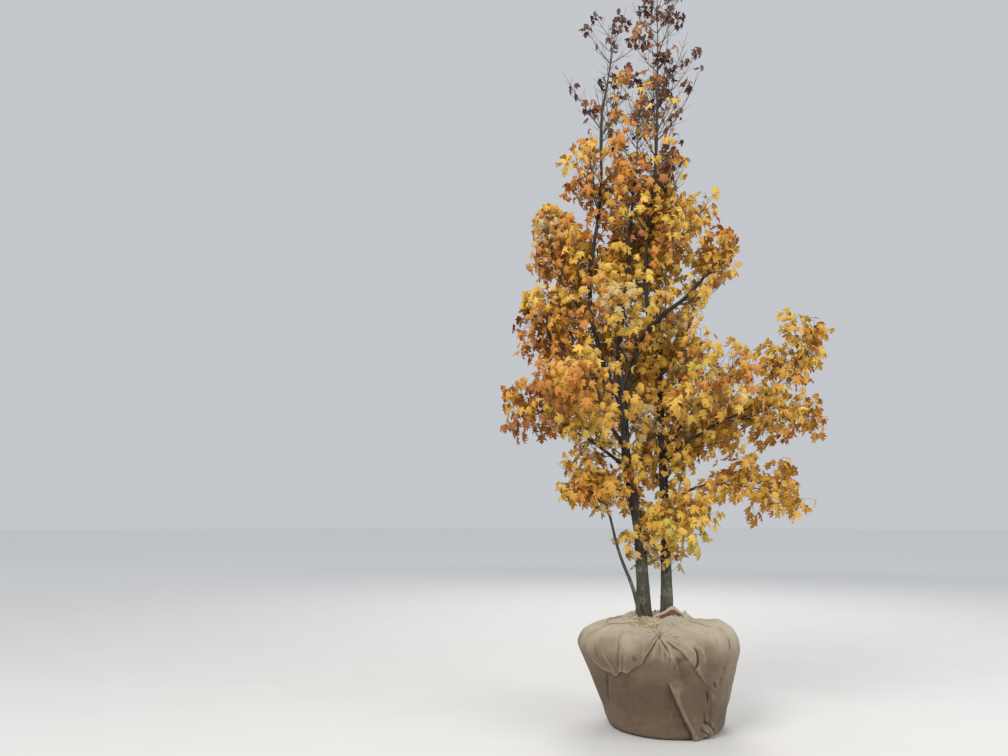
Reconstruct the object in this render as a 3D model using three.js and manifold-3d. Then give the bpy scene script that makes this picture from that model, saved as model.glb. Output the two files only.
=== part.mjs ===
// A clump of young maple stems in autumn leaf, standing on its root ball wrapped in burlap.
// Millimetres and degrees, +Z up. The origin is the middle of the ball's flat underside, and -Y is the front.

import * as THREE from "three";
import { mergeVertices } from "three/addons/utils/BufferGeometryUtils.js";
import Module from "manifold-3d";

const wasm = await Module();
wasm.setup();

// Driving sizes of the root ball
const BALL_HEIGHT = 776; // the seat that the stems stand on
const BALL_RADIUS = 597; // at the shoulder
const SHOULDER_LEVEL = 580;
const FOOT_RADIUS = 384; // the flat underside
const SEAT_RADIUS = 205; // the flat floor inside the gathered collar
const COLLAR_HEIGHT = 8; // the low ruffle of gathered cloth round the seat
const SHOULDER_OFFSET = 14; // of the ball's axis from the origin, towards +X, from the shoulder up
const FOOT_OFFSET = 54; // and at the underside, because the ball leans
const BALL_SIDES = 48;

// Driving sizes of the plant
const CLEARANCE = 0.3; // between pieces that meet
const BLADE_LENGTH = 180; // a leaf, larger than life because it stands for a spray
const BLADE_WIDTH = 165;
const BLADE_THICKNESS = 8;
const BLADE_SUNK = 1; // how far a blade's root runs on past the axis of its twig
const BLADE_SETBACK = 10; // of a blade's root from the tip of its twig
const BLADE_SPACING = 95; // between blades along a side twig
const SIDEWAYS = 0.8; // how far blades along a twig turn to its sides
const DROOPS = [0.95, 0.7, 0.4, 0.1, -0.2, -0.5]; // a blade hangs as low as its space lets it
const TWIG_RADIUS = [7, 6]; // at a side twig's foot and tip
const SHORTEST_TWIG = 60;
const SPRAY_RADIUS = [15, 9]; // at the foot and tip of the stem inside a mass of foliage
const PAIR_SPACING = 135; // between pairs of side twigs along that stem
const SPREAD = 52; // angle between a side twig and its stem
const SIDE_MARGIN = 4; // kept clear on each side of the plane between two masses
const FOOT_SUNK = 20; // how far a stem is first made to run down into the ball, before its foot is cut level
const FLARE_LENGTH = 130; // over which a stem's foot widens
const STEM_SIDES = 9;
const BOUGH_SIDES = 6;
const LIMB_STEP = 340; // length of one straight stretch of a limb

const BARK = { color: 0x6b6a5c, roughness: 0.85, metalness: 0 };
const BURLAP = { color: 0xa8977a, roughness: 0.95, metalness: 0 };
const TINTS = [0xd9a12c, 0xc98a24, 0xd6b13a, 0xbf7a2a];
const TOP_TINT = 0x6e3a28;
const TOP_LEVEL = 4700; // leaves above this height are dark

// A limb grows from a foot on the ball, or from another limb (on) at a share of its length (at).
// Its azimuth, from +X towards +Y, and its rise above level are given from foot to tip, evenly spaced.
// A rise over 90 leans back.
const STEMS = [
  { name: "stem_left", foot: [-83, 10], length: 3700, radius: [51, 9], flare: 0.3,
    azimuth: [180, 184, 176], rise: [89, 90, 82, 82, 90, 84, 97, 99, 95, 96, 97] },
  { name: "stem_right", foot: [92, 5], length: 4100, radius: [44, 9], flare: 0.25,
    azimuth: [60, 80, 75, 60, 70], rise: [84, 86, 83, 80, 84, 86, 88] },
  { name: "stem_small", foot: [-124, -84], length: 790, radius: [16, 9], flare: 0.15,
    azimuth: [186, 182], rise: [84, 72, 69, 74, 84] },
];
const LEADERS = [
  { name: "bough_right_high", on: "stem_left", at: 0.455, length: 1280, radius: [27, 12],
    azimuth: [2, -4], rise: [68, 73, 70, 60, 50, 37, 45, 49] },
  { name: "leader_left", on: "stem_left", at: 0.44, length: 2900, radius: [22, 8],
    azimuth: [184, 176, 182], rise: [58, 74, 74, 86, 97, 98, 100, 90, 90, 97, 104] },
  { name: "leader_main", on: "bough_right_high", at: 0.5, length: 2400, radius: [19, 8],
    azimuth: [0, -5], rise: [97, 91, 84, 82, 83, 87, 87, 88] },
];
const BOUGHS = [
  { name: "bough_right", on: "stem_right", at: 0.29, length: 720, radius: [19, 10],
    azimuth: [-8, -16], rise: [52, 34, 26, 24] },
  { name: "bough_right_low", on: "stem_right", at: 0.205, length: 400, radius: [15, 9],
    azimuth: [-22, -14], rise: [42, 12] },
  { name: "bough_left_low", on: "stem_left", at: 0.305, length: 430, radius: [16, 9],
    azimuth: [190, 184], rise: [40, 34] },
  { name: "bough_left_mid", on: "leader_left", at: 0.06, length: 330, radius: [13, 9],
    azimuth: [168, 174], rise: [34, 44] },
  { name: "bough_left_high", on: "leader_left", at: 0.26, length: 330, radius: [12, 8],
    azimuth: [188, 184], rise: [44, 54] },
  { name: "bough_front_left", on: "stem_left", at: 0.33, length: 340, radius: [14, 9],
    azimuth: [246, 240], rise: [34, 36] },
  { name: "bough_front_right", on: "stem_right", at: 0.31, length: 420, radius: [15, 9],
    azimuth: [292, 298], rise: [38, 38] },
  { name: "bough_back_left", on: "stem_left", at: 0.36, length: 420, radius: [14, 9],
    azimuth: [122, 128], rise: [40, 44] },
  { name: "bough_back_right", on: "stem_right", at: 0.255, length: 420, radius: [15, 9],
    azimuth: [42, 38], rise: [40, 38] },
  { name: "bough_back", on: "stem_right", at: 0.38, length: 360, radius: [13, 9],
    azimuth: [108, 104], rise: [40, 48] },
];

// A mass of foliage stands on a bough's tip (at 1) or on a limb's side. Girth is its half width.
const SINGLE_MASSES = [
  { name: "right_high", on: "bough_right", at: 1, azimuth: -6, rise: [30, 62], length: 980, girth: 270 },
  { name: "right_mid", on: "bough_right", at: 0.8, azimuth: -2, rise: [8, -2], length: 820, girth: 300 },
  { name: "right_low", on: "bough_right_low", at: 1, azimuth: -6, rise: [0, -24], length: 700, girth: 280 },
  { name: "left_low", on: "bough_left_low", at: 1, azimuth: 181, rise: [28, 30], length: 700, girth: 330 },
  { name: "left_foot", on: "stem_left", at: 0.27, azimuth: 184, rise: [12, -8], length: 580, girth: 210 },
  { name: "left_mid", on: "bough_left_mid", at: 1, azimuth: 176, rise: [40, 52], length: 660, girth: 350 },
  { name: "left_high", on: "bough_left_high", at: 1, azimuth: 172, rise: [64, 80], length: 700, girth: 310 },
  { name: "right_crown", on: "bough_right_high", at: 1, azimuth: 0, rise: [34, 62], length: 500, girth: 300 },
  { name: "right_inner", on: "bough_right_high", at: 0.74, azimuth: -24, rise: [8, 0], length: 440,
    girth: 290 },
  { name: "front_left", on: "bough_front_left", at: 1, azimuth: 236, rise: [34, 46], length: 700,
    girth: 400 },
  { name: "front_right", on: "bough_front_right", at: 1, azimuth: 300, rise: [30, 36], length: 700,
    girth: 400 },
  { name: "front_low", on: "stem_right", at: 0.15, azimuth: 290, rise: [30, 0], length: 520, girth: 300 },
  { name: "back_left", on: "bough_back_left", at: 1, azimuth: 130, rise: [38, 46], length: 720, girth: 400 },
  { name: "back_right", on: "bough_back_right", at: 1, azimuth: 36, rise: [30, 34], length: 720, girth: 400 },
  { name: "back", on: "bough_back", at: 1, azimuth: 98, rise: [44, 54], length: 720, girth: 400 },
  { name: "small", on: "stem_small", at: 1, azimuth: 186, rise: [60, 40], length: 330, girth: 190 },
];
// Masses that climb round a stem or leader, each a golden turn on from the one below, with one at its tip.
const CLIMBING_MASSES = [
  { on: "stem_left", from: 0.55, to: 0.8, count: 2, azimuth: 252, rise: [34, 56],
    length: [720, 560], girth: 390, tip: 620 },
  { on: "stem_right", from: 0.47, to: 0.84, count: 3, azimuth: 40, rise: [30, 60],
    length: [720, 520], girth: 400, tip: 640 },
  { on: "leader_left", from: 0.36, to: 0.82, count: 3, azimuth: 110, rise: [40, 64],
    length: [660, 480], girth: 340, tip: 600 },
  { on: "leader_main", from: 0.24, to: 0.84, count: 4, azimuth: 350, rise: [36, 58],
    length: [680, 520], girth: 370, tip: 720 },
];
const GOLDEN_TURN = 137.5;

const toRadians = THREE.MathUtils.degToRad;

/** Numbers from 0 to 1 that follow from the seed alone. */
function seeded(seed) {
  const modulus = 2 ** 32;
  let state = (seed * 7919 + 101) % modulus;
  const next = () => {
    state = (state * 1664525 + 1013904223) % modulus;
    return state / modulus;
  };
  next();
  return next;
}

/** The value at a share of the way along a list of evenly spaced values. */
function along(values, share) {
  if (values.length === 1) return values[0];
  const place = THREE.MathUtils.clamp(share, 0, 1) * (values.length - 1);
  const low = Math.min(Math.floor(place), values.length - 2);
  return THREE.MathUtils.lerp(values[low], values[low + 1], place - low);
}

/** The unit vector of an azimuth and a rise. */
function heading(azimuth, rise) {
  const [a, r] = [toRadians(azimuth), toRadians(rise)];
  return new THREE.Vector3(Math.cos(r) * Math.cos(a), Math.cos(r) * Math.sin(a), Math.sin(r));
}

/** The points of a limb that starts somewhere and keeps to its headings. */
function route(start, azimuth, rise, length, steps) {
  const points = [start.clone()];
  for (let i = 0; i < steps; i++) {
    const share = (i + 0.5) / steps;
    const step = heading(along(azimuth, share), along(rise, share)).multiplyScalar(length / steps);
    points.push(points[i].clone().add(step));
  }
  return points;
}

/** The point and the direction at a share of a route's length. */
function placeOn(points, share) {
  const place = THREE.MathUtils.clamp(share, 0, 1) * (points.length - 1);
  const low = Math.min(Math.floor(place), points.length - 2);
  const direction = points[low + 1].clone().sub(points[low]).normalize();
  return { point: points[low].clone().lerp(points[low + 1], place - low), direction };
}

/** Two unit vectors square to a direction. */
function squareTo(direction) {
  const helper = Math.abs(direction.z) < 0.9 ? new THREE.Vector3(0, 0, 1) : new THREE.Vector3(1, 0, 0);
  const first = helper.cross(direction).normalize();
  return [first, direction.clone().cross(first)];
}

/** A manifold-3d solid of a closed three.js geometry. */
function solidOf(geometry) {
  const bare = geometry.clone();
  bare.deleteAttribute("normal");
  bare.deleteAttribute("uv");
  const merged = mergeVertices(bare, 1e-4);
  return new wasm.Manifold(
    new wasm.Mesh({
      numProp: 3,
      vertProperties: merged.attributes.position.array,
      triVerts: new Uint32Array(merged.index.array),
    }),
  );
}

/** A three.js geometry of a manifold-3d solid. */
function geometryOf(solid) {
  const { vertProperties, triVerts, numProp } = solid.getMesh();
  const positions = new Float32Array((vertProperties.length / numProp) * 3);
  for (let i = 0; i < positions.length / 3; i++)
    positions.set(vertProperties.subarray(i * numProp, i * numProp + 3), i * 3);
  const geometry = new THREE.BufferGeometry();
  geometry.setAttribute("position", new THREE.BufferAttribute(positions, 3));
  geometry.setIndex(new THREE.BufferAttribute(triVerts, 1));
  geometry.computeVertexNormals();
  return geometry;
}

/** Several solids joined into one. */
function joined(solids) {
  return solids.reduce((a, b) => a.add(b));
}

/** The largest body of a solid: scraps that a cut leaves, and hollows that a join seals, are dropped. */
function largest(solid) {
  return solid.decompose().reduce((a, b) => (b.volume() > a.volume() ? b : a));
}

/** A cylinder bent along a route, its radius following from a share of the length. */
function limbSolid(points, radiusAt, sides) {
  const steps = points.length - 1;
  const tube = new THREE.CylinderGeometry(1, 1, 1, sides, steps, false, Math.PI);
  const position = tube.attributes.position;
  const corner = new THREE.Vector3();
  const rings = points.map((point, i) => {
    const before = points[Math.max(i - 1, 0)];
    const after = points[Math.min(i + 1, steps)];
    const direction = after.clone().sub(before).normalize();
    const [u, v] = squareTo(direction);
    return { point, u, v, radius: radiusAt(i / steps) };
  });
  for (let i = 1; i <= steps; i++) keepUntwisted(rings[i - 1], rings[i]);
  for (let i = 0; i < position.count; i++) {
    corner.fromBufferAttribute(position, i);
    const ring = rings[Math.round((corner.y + 0.5) * steps)];
    const { x, z } = corner;
    corner.copy(ring.point).addScaledVector(ring.u, x * ring.radius);
    corner.addScaledVector(ring.v, -z * ring.radius);
    position.setXYZ(i, corner.x, corner.y, corner.z);
  }
  return solidOf(tube);
}

/** Turns a ring about its own axis until it lines up with the one before. */
function keepUntwisted(before, ring) {
  const direction = ring.u.clone().cross(ring.v);
  ring.u.copy(before.u).addScaledVector(direction, -before.u.dot(direction)).normalize();
  ring.v.copy(direction.cross(ring.u));
}

/** The radius of a limb at a share of its length, with a flare at a stem's foot. */
function taper({ radius, length, flare = 0 }, extra = 0) {
  return (share) => {
    const widened = 1 + flare * Math.exp((-share * length) / FLARE_LENGTH);
    return THREE.MathUtils.lerp(radius[0], radius[1], share ** 0.85) * widened + extra;
  };
}

/** Works out every limb's route from the table, each after the limb it grows from. */
function routeLimbs() {
  const limbs = new Map();
  for (const limb of [...STEMS, ...LEADERS, ...BOUGHS]) {
    const start = limb.on
      ? placeOn(limbs.get(limb.on).points, limb.at).point
      : new THREE.Vector3(...limb.foot, BALL_HEIGHT + CLEARANCE);
    const steps = Math.max(2, Math.round(limb.length / LIMB_STEP) + 1);
    limbs.set(limb.name, { ...limb, points: route(start, limb.azimuth, limb.rise, limb.length, steps) });
  }
  return limbs;
}

/** Cuts a limb level just above the ball's seat, so that its foot is flat. */
function levelFoot(solid) {
  const block = new THREE.BoxGeometry(SEAT_RADIUS * 2, SEAT_RADIUS * 2, SEAT_RADIUS);
  return solid.subtract(solidOf(block.translate(0, 0, BALL_HEIGHT + CLEARANCE - SEAT_RADIUS / 2)));
}

/** A limb's points with the tip moved on by the clearance. */
function lengthened(points) {
  const { point, direction } = placeOn(points, 1);
  return [...points.slice(0, -1), point.addScaledVector(direction, CLEARANCE)];
}

/** Makes the limbs' solids, each cut clear of those before it. Returns them with what they keep clear. */
function makeLimbs(limbs) {
  const solids = new Map();
  let keepOut = null;
  for (const limb of limbs.values()) {
    const sides = limb.on ? BOUGH_SIDES : STEM_SIDES;
    const foot = limb.points[0].clone().setZ(BALL_HEIGHT - FOOT_SUNK);
    const sunk = limb.on ? limb.points : [foot, ...limb.points.slice(1)];
    let solid = limbSolid(sunk, taper(limb), sides);
    let wide = limbSolid(lengthened(sunk), taper(limb, CLEARANCE * 1.3), sides);
    if (!limb.on) [solid, wide] = [levelFoot(solid), levelFoot(wide)];
    if (keepOut) solid = largest(solid.subtract(keepOut));
    solids.set(limb.name, solid);
    keepOut = keepOut ? keepOut.add(wide) : wide;
  }
  return { solids, keepOut };
}

/** Every mass of foliage with its route, from both tables. */
function routeMasses(limbs) {
  const masses = SINGLE_MASSES.map((mass) => ({ ...mass, azimuth: [mass.azimuth] }));
  for (const { on, from, to, count, azimuth, rise, length, girth, tip } of CLIMBING_MASSES) {
    for (let i = 0; i < count; i++) {
      const share = i / (count - 1);
      masses.push({
        name: `${on}_${i + 1}`,
        on,
        at: THREE.MathUtils.lerp(from, to, share),
        azimuth: [azimuth + i * GOLDEN_TURN],
        rise: [along(rise, share), along(rise, share) + 14],
        length: along(length, share),
        girth: girth * (1 - 0.25 * share),
      });
    }
    const { direction } = placeOn(limbs.get(on).points, 1);
    const lean = THREE.MathUtils.radToDeg(Math.atan2(direction.y, direction.x));
    const up = THREE.MathUtils.radToDeg(Math.asin(direction.z));
    masses.push({
      name: `${on}_top`,
      on,
      at: 1,
      azimuth: [lean],
      rise: [up, 89],
      length: tip,
      girth: girth * 0.8,
    });
  }
  return masses.map((mass, index) => placeMass(mass, index, limbs.get(mass.on)));
}

/** Gives a mass its route from its limb and its own space, an ellipsoid round that route. */
function placeMass(mass, index, limb) {
  const points = route(placeOn(limb.points, mass.at).point, mass.azimuth, mass.rise, mass.length, 4);
  const axis = points[4].clone().sub(points[0]).normalize();
  const centre = points[0].clone().lerp(points[4], 0.54);
  return { ...mass, index, points, axis, centre, reach: mass.length * 0.56, planes: [] };
}

/** Half the width of a mass's ellipsoid in a direction. */
function extent({ axis, reach, girth }, direction) {
  const cosine = axis.dot(direction);
  return Math.sqrt((reach * cosine) ** 2 + girth ** 2 * (1 - cosine ** 2));
}

/** Parts the masses' spaces by a plane between each two that come near each other. */
function partSpaces(masses) {
  for (const a of masses) {
    for (const b of masses) {
      if (a === b) continue;
      const normal = b.centre.clone().sub(a.centre);
      const distance = normal.length();
      normal.normalize();
      const [ra, rb] = [extent(a, normal), extent(b, normal)];
      if (distance > ra + rb) continue;
      const point = a.centre.clone().addScaledVector(normal, (distance * ra) / (ra + rb));
      a.planes.push({ normal, offset: normal.dot(point) - SIDE_MARGIN });
    }
  }
}

/** How far a point can move along a direction before it leaves a mass's space: 0 when it is outside. */
function roomAlong(mass, point, direction) {
  const squash = (vector) => {
    const lengthwise = mass.axis.clone().multiplyScalar(vector.dot(mass.axis));
    const sideways = vector.clone().sub(lengthwise);
    return lengthwise.divideScalar(mass.reach).add(sideways.divideScalar(mass.girth));
  };
  const from = squash(point.clone().sub(mass.centre));
  const way = squash(direction);
  const [a, b, c] = [way.dot(way), from.dot(way), from.dot(from) - 1];
  if (c > 0) return 0;
  let room = (-b + Math.sqrt(b * b - a * c)) / a;
  for (const { normal, offset } of mass.planes) {
    const left = offset - normal.dot(point);
    if (left < 0) return 0;
    const speed = normal.dot(direction);
    if (speed > 0) room = Math.min(room, left / speed);
  }
  return room;
}

/** Whether a point lies in a mass's own space. */
function inSpace(mass, point) {
  return roomAlong(mass, point, mass.axis) > 0;
}

/** The unit vector at an angle from one unit vector towards another that is square to it. */
function swung(first, second, angle) {
  return first.clone().multiplyScalar(Math.cos(angle)).addScaledVector(second, Math.sin(angle));
}

/** The side twigs of a mass, in crossed pairs that reach out to the edge of its space. */
function sideTwigs(mass) {
  const draw = seeded(mass.index + 1);
  const pairs = Math.max(2, Math.round(mass.length / PAIR_SPACING));
  const twigs = [];
  for (let pair = 0; pair < pairs; pair++) {
    const { point, direction } = placeOn(mass.points, 0.14 + (0.8 * pair) / pairs);
    const [u, v] = squareTo(direction);
    const turn = toRadians(pair * 90 + 40 * draw());
    for (const side of [0, Math.PI]) {
      const spread = toRadians(SPREAD + 16 * (draw() - 0.5));
      const way = swung(direction, swung(u, v, turn + side), spread);
      const length = roomAlong(mass, point, way) * (0.62 + 0.2 * draw());
      twigs.push({ point, way, length, seed: mass.index * 100 + twigs.length });
    }
  }
  return twigs;
}

/** A blade that droops to one side of its twig: a thin octahedron with its root sunk in the twig. */
function blade(root, outward, side, droop, { size, lean, twist }) {
  const sideways = new THREE.Vector3(-outward.y, outward.x, 0).normalize().multiplyScalar(side + lean);
  const way = outward.clone().multiplyScalar(0.6).add(sideways);
  way.add(new THREE.Vector3(0, 0, -droop)).normalize();
  const across = outward.clone().add(new THREE.Vector3(twist, lean, 0.8)).cross(way).normalize();
  const normal = across.clone().cross(way);
  const middle = root.clone().addScaledVector(way, (BLADE_LENGTH * size) / 2 - BLADE_SUNK);
  const basis = new THREE.Matrix4().makeBasis(
    across.multiplyScalar((BLADE_WIDTH * size) / 2),
    way.multiplyScalar((BLADE_LENGTH * size) / 2),
    normal.multiplyScalar(BLADE_THICKNESS / 2),
  );
  const geometry = new THREE.OctahedronGeometry(1).applyMatrix4(basis);
  return geometry.translate(middle.x, middle.y, middle.z);
}

/** Whether every corner of a geometry lies in a mass's space. */
function fits(mass, geometry) {
  const position = geometry.attributes.position;
  const corner = new THREE.Vector3();
  for (let i = 0; i < position.count; i++)
    if (!inSpace(mass, corner.fromBufferAttribute(position, i))) return false;
  return true;
}

/** Whether a solid stands clear of each of a list of solids. */
function standsClear(solid, others) {
  return others.every((other) => solid.intersect(other).isEmpty());
}

/** The first of a blade's droops that keeps it in its mass's space and off all that is there, if one does. */
function placedBlade(mass, root, outward, side, draw, others) {
  for (const droop of DROOPS) {
    const shape = { size: 0.8 + 0.3 * draw(), lean: draw() - 0.5, twist: draw() - 0.5 };
    const geometry = blade(root, outward, side, droop, shape);
    if (!fits(mass, geometry)) continue;
    const solid = solidOf(geometry);
    if (standsClear(solid, others)) return [solid];
  }
  return [];
}

/** A side twig of a mass with the blades along it, or nothing where the twig has no room. */
function leafyTwig(mass, { point, way, length, seed }, stem, others) {
  if (length < SHORTEST_TWIG) return [];
  const draw = seeded(seed);
  const end = point.clone().addScaledVector(way, length);
  const twig = limbSolid([point, end], (share) => along(TWIG_RADIUS, share), 3);
  if (!inSpace(mass, end) || !standsClear(twig, others)) return [];
  const blades = [];
  const count = Math.max(1, Math.round(length / BLADE_SPACING));
  for (let i = 1; i <= count; i++) {
    const root = point.clone().lerp(end, i / count).addScaledVector(way, -BLADE_SETBACK);
    const side = i === count ? 0 : SIDEWAYS * (-1) ** i;
    blades.push(...placedBlade(mass, root, way, side, draw, [stem, ...others, ...blades]));
  }
  return [twig, ...blades];
}

/** One mass of foliage as a single solid: a stem, its side twigs, and the blades on them. */
function massSolid(mass, keepOut) {
  const stem = largest(limbSolid(mass.points, (share) => along(SPRAY_RADIUS, share), 3).subtract(keepOut));
  const pieces = [];
  for (const twig of sideTwigs(mass)) pieces.push(...leafyTwig(mass, twig, stem, [keepOut, ...pieces]));
  const { point, direction } = placeOn(mass.points, 1);
  const root = point.addScaledVector(direction, -BLADE_SETBACK);
  pieces.push(...placedBlade(mass, root, direction, 0, seeded(mass.index * 100 + 99), [keepOut, ...pieces]));
  return largest(joined([stem, ...pieces]));
}

/** The ball's outline from the middle of its underside, over the shoulder, to the middle of its seat. */
function ballOutline() {
  const side = new THREE.SplineCurve([
    new THREE.Vector2(FOOT_RADIUS, 0),
    new THREE.Vector2(FOOT_RADIUS + 36, 34),
    new THREE.Vector2(FOOT_RADIUS + 80, 165),
    new THREE.Vector2(BALL_RADIUS - 80, 332),
    new THREE.Vector2(BALL_RADIUS - 28, 489),
    new THREE.Vector2(BALL_RADIUS, SHOULDER_LEVEL),
    new THREE.Vector2(BALL_RADIUS - 28, 662),
    new THREE.Vector2(BALL_RADIUS - 90, BALL_HEIGHT - 66),
    new THREE.Vector2(BALL_RADIUS - 240, BALL_HEIGHT - 26),
    new THREE.Vector2(SEAT_RADIUS + 40, BALL_HEIGHT - 8),
    new THREE.Vector2(SEAT_RADIUS + 12, BALL_HEIGHT + COLLAR_HEIGHT),
  ]);
  const underside = [new THREE.Vector2(0, 0), new THREE.Vector2(FOOT_RADIUS * 0.5, 0)];
  const seat = [new THREE.Vector2(SEAT_RADIUS, BALL_HEIGHT), new THREE.Vector2(0, BALL_HEIGHT)];
  return [...underside, ...side.getPoints(14), ...seat];
}

// Folds of the cloth. Each runs from one place to another, given as the angle round the ball from the
// front and the height, and stands out by its depth over its width.
const FOLDS = [
  { from: [-62, 600], to: [-40, 475], width: 50, depth: 14 },
  { from: [-40, 475], to: [-14, 570], width: 50, depth: 14 },
  { from: [-14, 570], to: [-8, 690], width: 45, depth: 14 },
  { from: [-3, 690], to: [20, 500], width: 45, depth: 16 },
  { from: [20, 500], to: [33, 330], width: 45, depth: 16 },
  { from: [0, 430], to: [25, 30], width: 48, depth: 24 },
  { from: [48, 420], to: [52, 60], width: 60, depth: 16 },
  { from: [76, 480], to: [84, 120], width: 60, depth: 8 },
  { from: [130, 660], to: [112, 120], width: 60, depth: 18 },
  { from: [160, 640], to: [186, 180], width: 60, depth: 18 },
  { from: [214, 690], to: [206, 60], width: 60, depth: 18 },
  { from: [250, 640], to: [268, 300], width: 60, depth: 14 },
];

/** How far the folds push the cloth out at an angle from the front, in degrees, and a height. */
function foldDepth(angle, height) {
  const millimetresPerDegree = (Math.PI * BALL_RADIUS) / 180;
  let depth = 0;
  for (const { from, to, width, depth: full } of FOLDS) {
    const turn = THREE.MathUtils.euclideanModulo(angle - from[0] + 180, 360) - 180;
    const place = new THREE.Vector2(turn * millimetresPerDegree, height - from[1]);
    const run = new THREE.Vector2((to[0] - from[0]) * millimetresPerDegree, to[1] - from[1]);
    const share = THREE.MathUtils.clamp(place.dot(run) / run.lengthSq(), 0, 1);
    const away = place.distanceTo(run.multiplyScalar(share));
    depth = Math.max(depth, full * Math.exp(-((away / width) ** 2)));
  }
  return depth;
}

/** How far the leaning ball's axis lies from the origin, towards +X, at a height. */
function axisOffset(height) {
  return THREE.MathUtils.lerp(FOOT_OFFSET, SHOULDER_OFFSET, Math.min(height / SHOULDER_LEVEL, 1));
}

/** The root ball in its cloth: a turned outline pushed out by the folds, with a ruffle round the seat. */
function rootBallSolid() {
  const turned = new THREE.LatheGeometry(ballOutline(), BALL_SIDES).rotateX(Math.PI / 2);
  const position = turned.attributes.position;
  for (let i = 0; i < position.count; i++) {
    const [x, y, z] = [position.getX(i), position.getY(i), position.getZ(i)];
    const radius = Math.hypot(x, y);
    const angle = THREE.MathUtils.radToDeg(Math.atan2(x, -y));
    const collar = THREE.MathUtils.smoothstep(z, BALL_HEIGHT, BALL_HEIGHT + COLLAR_HEIGHT);
    const ruffle = 0.4 * collar * COLLAR_HEIGHT * Math.cos(toRadians(angle * 12));
    const folded = z > 0 && radius > SEAT_RADIUS + 5;
    const out = folded ? 1 + (foldDepth(angle, z) * (1 - collar)) / radius : 1;
    position.setXYZ(i, x * out + axisOffset(z), y * out, z + ruffle);
  }
  return solidOf(turned);
}

/** Adds one named mesh to the tree. */
function addMesh(group, name, solid, finish) {
  const mesh = new THREE.Mesh(geometryOf(solid), new THREE.MeshStandardMaterial(finish));
  mesh.name = name;
  group.add(mesh);
}

/** The colour of a mass: a dark one near the top, and one of the golds below. */
function tintOf(mass) {
  const dark = mass.centre.z > TOP_LEVEL;
  return { color: dark ? TOP_TINT : TINTS[mass.index % TINTS.length], roughness: 0.7, metalness: 0 };
}

const tree = new THREE.Group();
tree.name = "sapling_with_root_ball";
addMesh(tree, "root_ball", rootBallSolid(), BURLAP);

const limbs = routeLimbs();
const { solids, keepOut } = makeLimbs(limbs);
for (const [name, solid] of solids) addMesh(tree, name, solid, BARK);

const masses = routeMasses(limbs);
partSpaces(masses);
const stemsOf = masses.map((mass) => limbSolid(mass.points, (share) => along(SPRAY_RADIUS, share) + 2, 3));
masses.forEach((mass, i) => {
  const others = joined([keepOut, ...stemsOf.filter((_, j) => j !== i)]);
  addMesh(tree, `foliage_${mass.name}`, massSolid(mass, others), tintOf(mass));
});

export default tree;
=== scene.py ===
"""A clump of young maple stems in autumn leaf, standing on its root ball wrapped in burlap.

Metres and degrees, +Z up. The origin is the middle of the ball's flat underside, and -Y is the front. The
limbs and the masses of foliage follow the same rule as the part's source, carried on here to finer twigs
and to leaves.
"""

import logging
import math
from collections.abc import Iterator, Sequence
from dataclasses import dataclass, field
from enum import Enum
from itertools import pairwise

import bpy
import numpy as np
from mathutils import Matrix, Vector
from numpy.typing import NDArray


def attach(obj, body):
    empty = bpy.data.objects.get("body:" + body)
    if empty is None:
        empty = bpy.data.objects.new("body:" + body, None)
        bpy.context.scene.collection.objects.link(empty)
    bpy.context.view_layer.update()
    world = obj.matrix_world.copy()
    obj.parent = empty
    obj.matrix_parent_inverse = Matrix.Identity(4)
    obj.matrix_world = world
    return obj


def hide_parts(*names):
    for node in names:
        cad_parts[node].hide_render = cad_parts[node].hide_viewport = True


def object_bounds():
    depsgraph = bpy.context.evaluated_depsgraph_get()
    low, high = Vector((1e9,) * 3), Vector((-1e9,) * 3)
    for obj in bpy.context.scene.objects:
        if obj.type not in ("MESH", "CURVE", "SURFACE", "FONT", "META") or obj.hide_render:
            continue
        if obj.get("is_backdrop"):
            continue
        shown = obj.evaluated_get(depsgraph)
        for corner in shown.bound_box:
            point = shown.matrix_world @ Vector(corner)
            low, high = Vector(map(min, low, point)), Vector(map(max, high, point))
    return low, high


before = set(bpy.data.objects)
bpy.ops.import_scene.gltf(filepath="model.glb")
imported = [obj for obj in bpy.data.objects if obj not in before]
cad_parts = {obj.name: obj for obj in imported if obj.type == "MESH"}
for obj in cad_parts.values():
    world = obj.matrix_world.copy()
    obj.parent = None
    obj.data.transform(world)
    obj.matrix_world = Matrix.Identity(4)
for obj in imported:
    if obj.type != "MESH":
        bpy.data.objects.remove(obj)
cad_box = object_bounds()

Array = NDArray[np.float64]
Colour = tuple[float, float, float]
Pair = tuple[float, float]
Material = bpy.types.Material
Socket = bpy.types.NodeSocket
Floats = Sequence[float]
Tube = tuple[Sequence[Vector], Floats]

log = logging.getLogger("clump")
BODY = "root"
UP = Vector((0, 0, 1))
TINY = 1e-9
LATTICE_SHIFT = 1000.37

# Sizes that the root ball and the plant share with the source
BALL_HEIGHT = 0.776
BALL_RADIUS = 0.597
SHOULDER_LEVEL = 0.58
SEAT_RADIUS = 0.205
SHOULDER_OFFSET = 0.014
FOOT_OFFSET = 0.054
CLEARANCE = 0.0003
PAIR_SPACING = 0.135
SPREAD = 52
SIDE_MARGIN = 0.004
FLARE_LENGTH = 0.13
LIMB_STEP = 0.34
TAPER = 0.85
MASS_STEPS = 4
MASS_MIDDLE = 0.54
MASS_REACH = 0.56
FIRST_PAIR = 0.14
PAIRED_SHARE = 0.8
TURN_CHANGE = 40
SPREAD_CHANGE = 16
TWIG_SHARE = 0.62
TWIG_CHANGE = 0.2
TURN_UP = 14
THINNER_UP = 0.25
TOP_GIRTH = 0.8
TOP_RISE = 89
GOLDEN_TURN = 137.5

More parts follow.
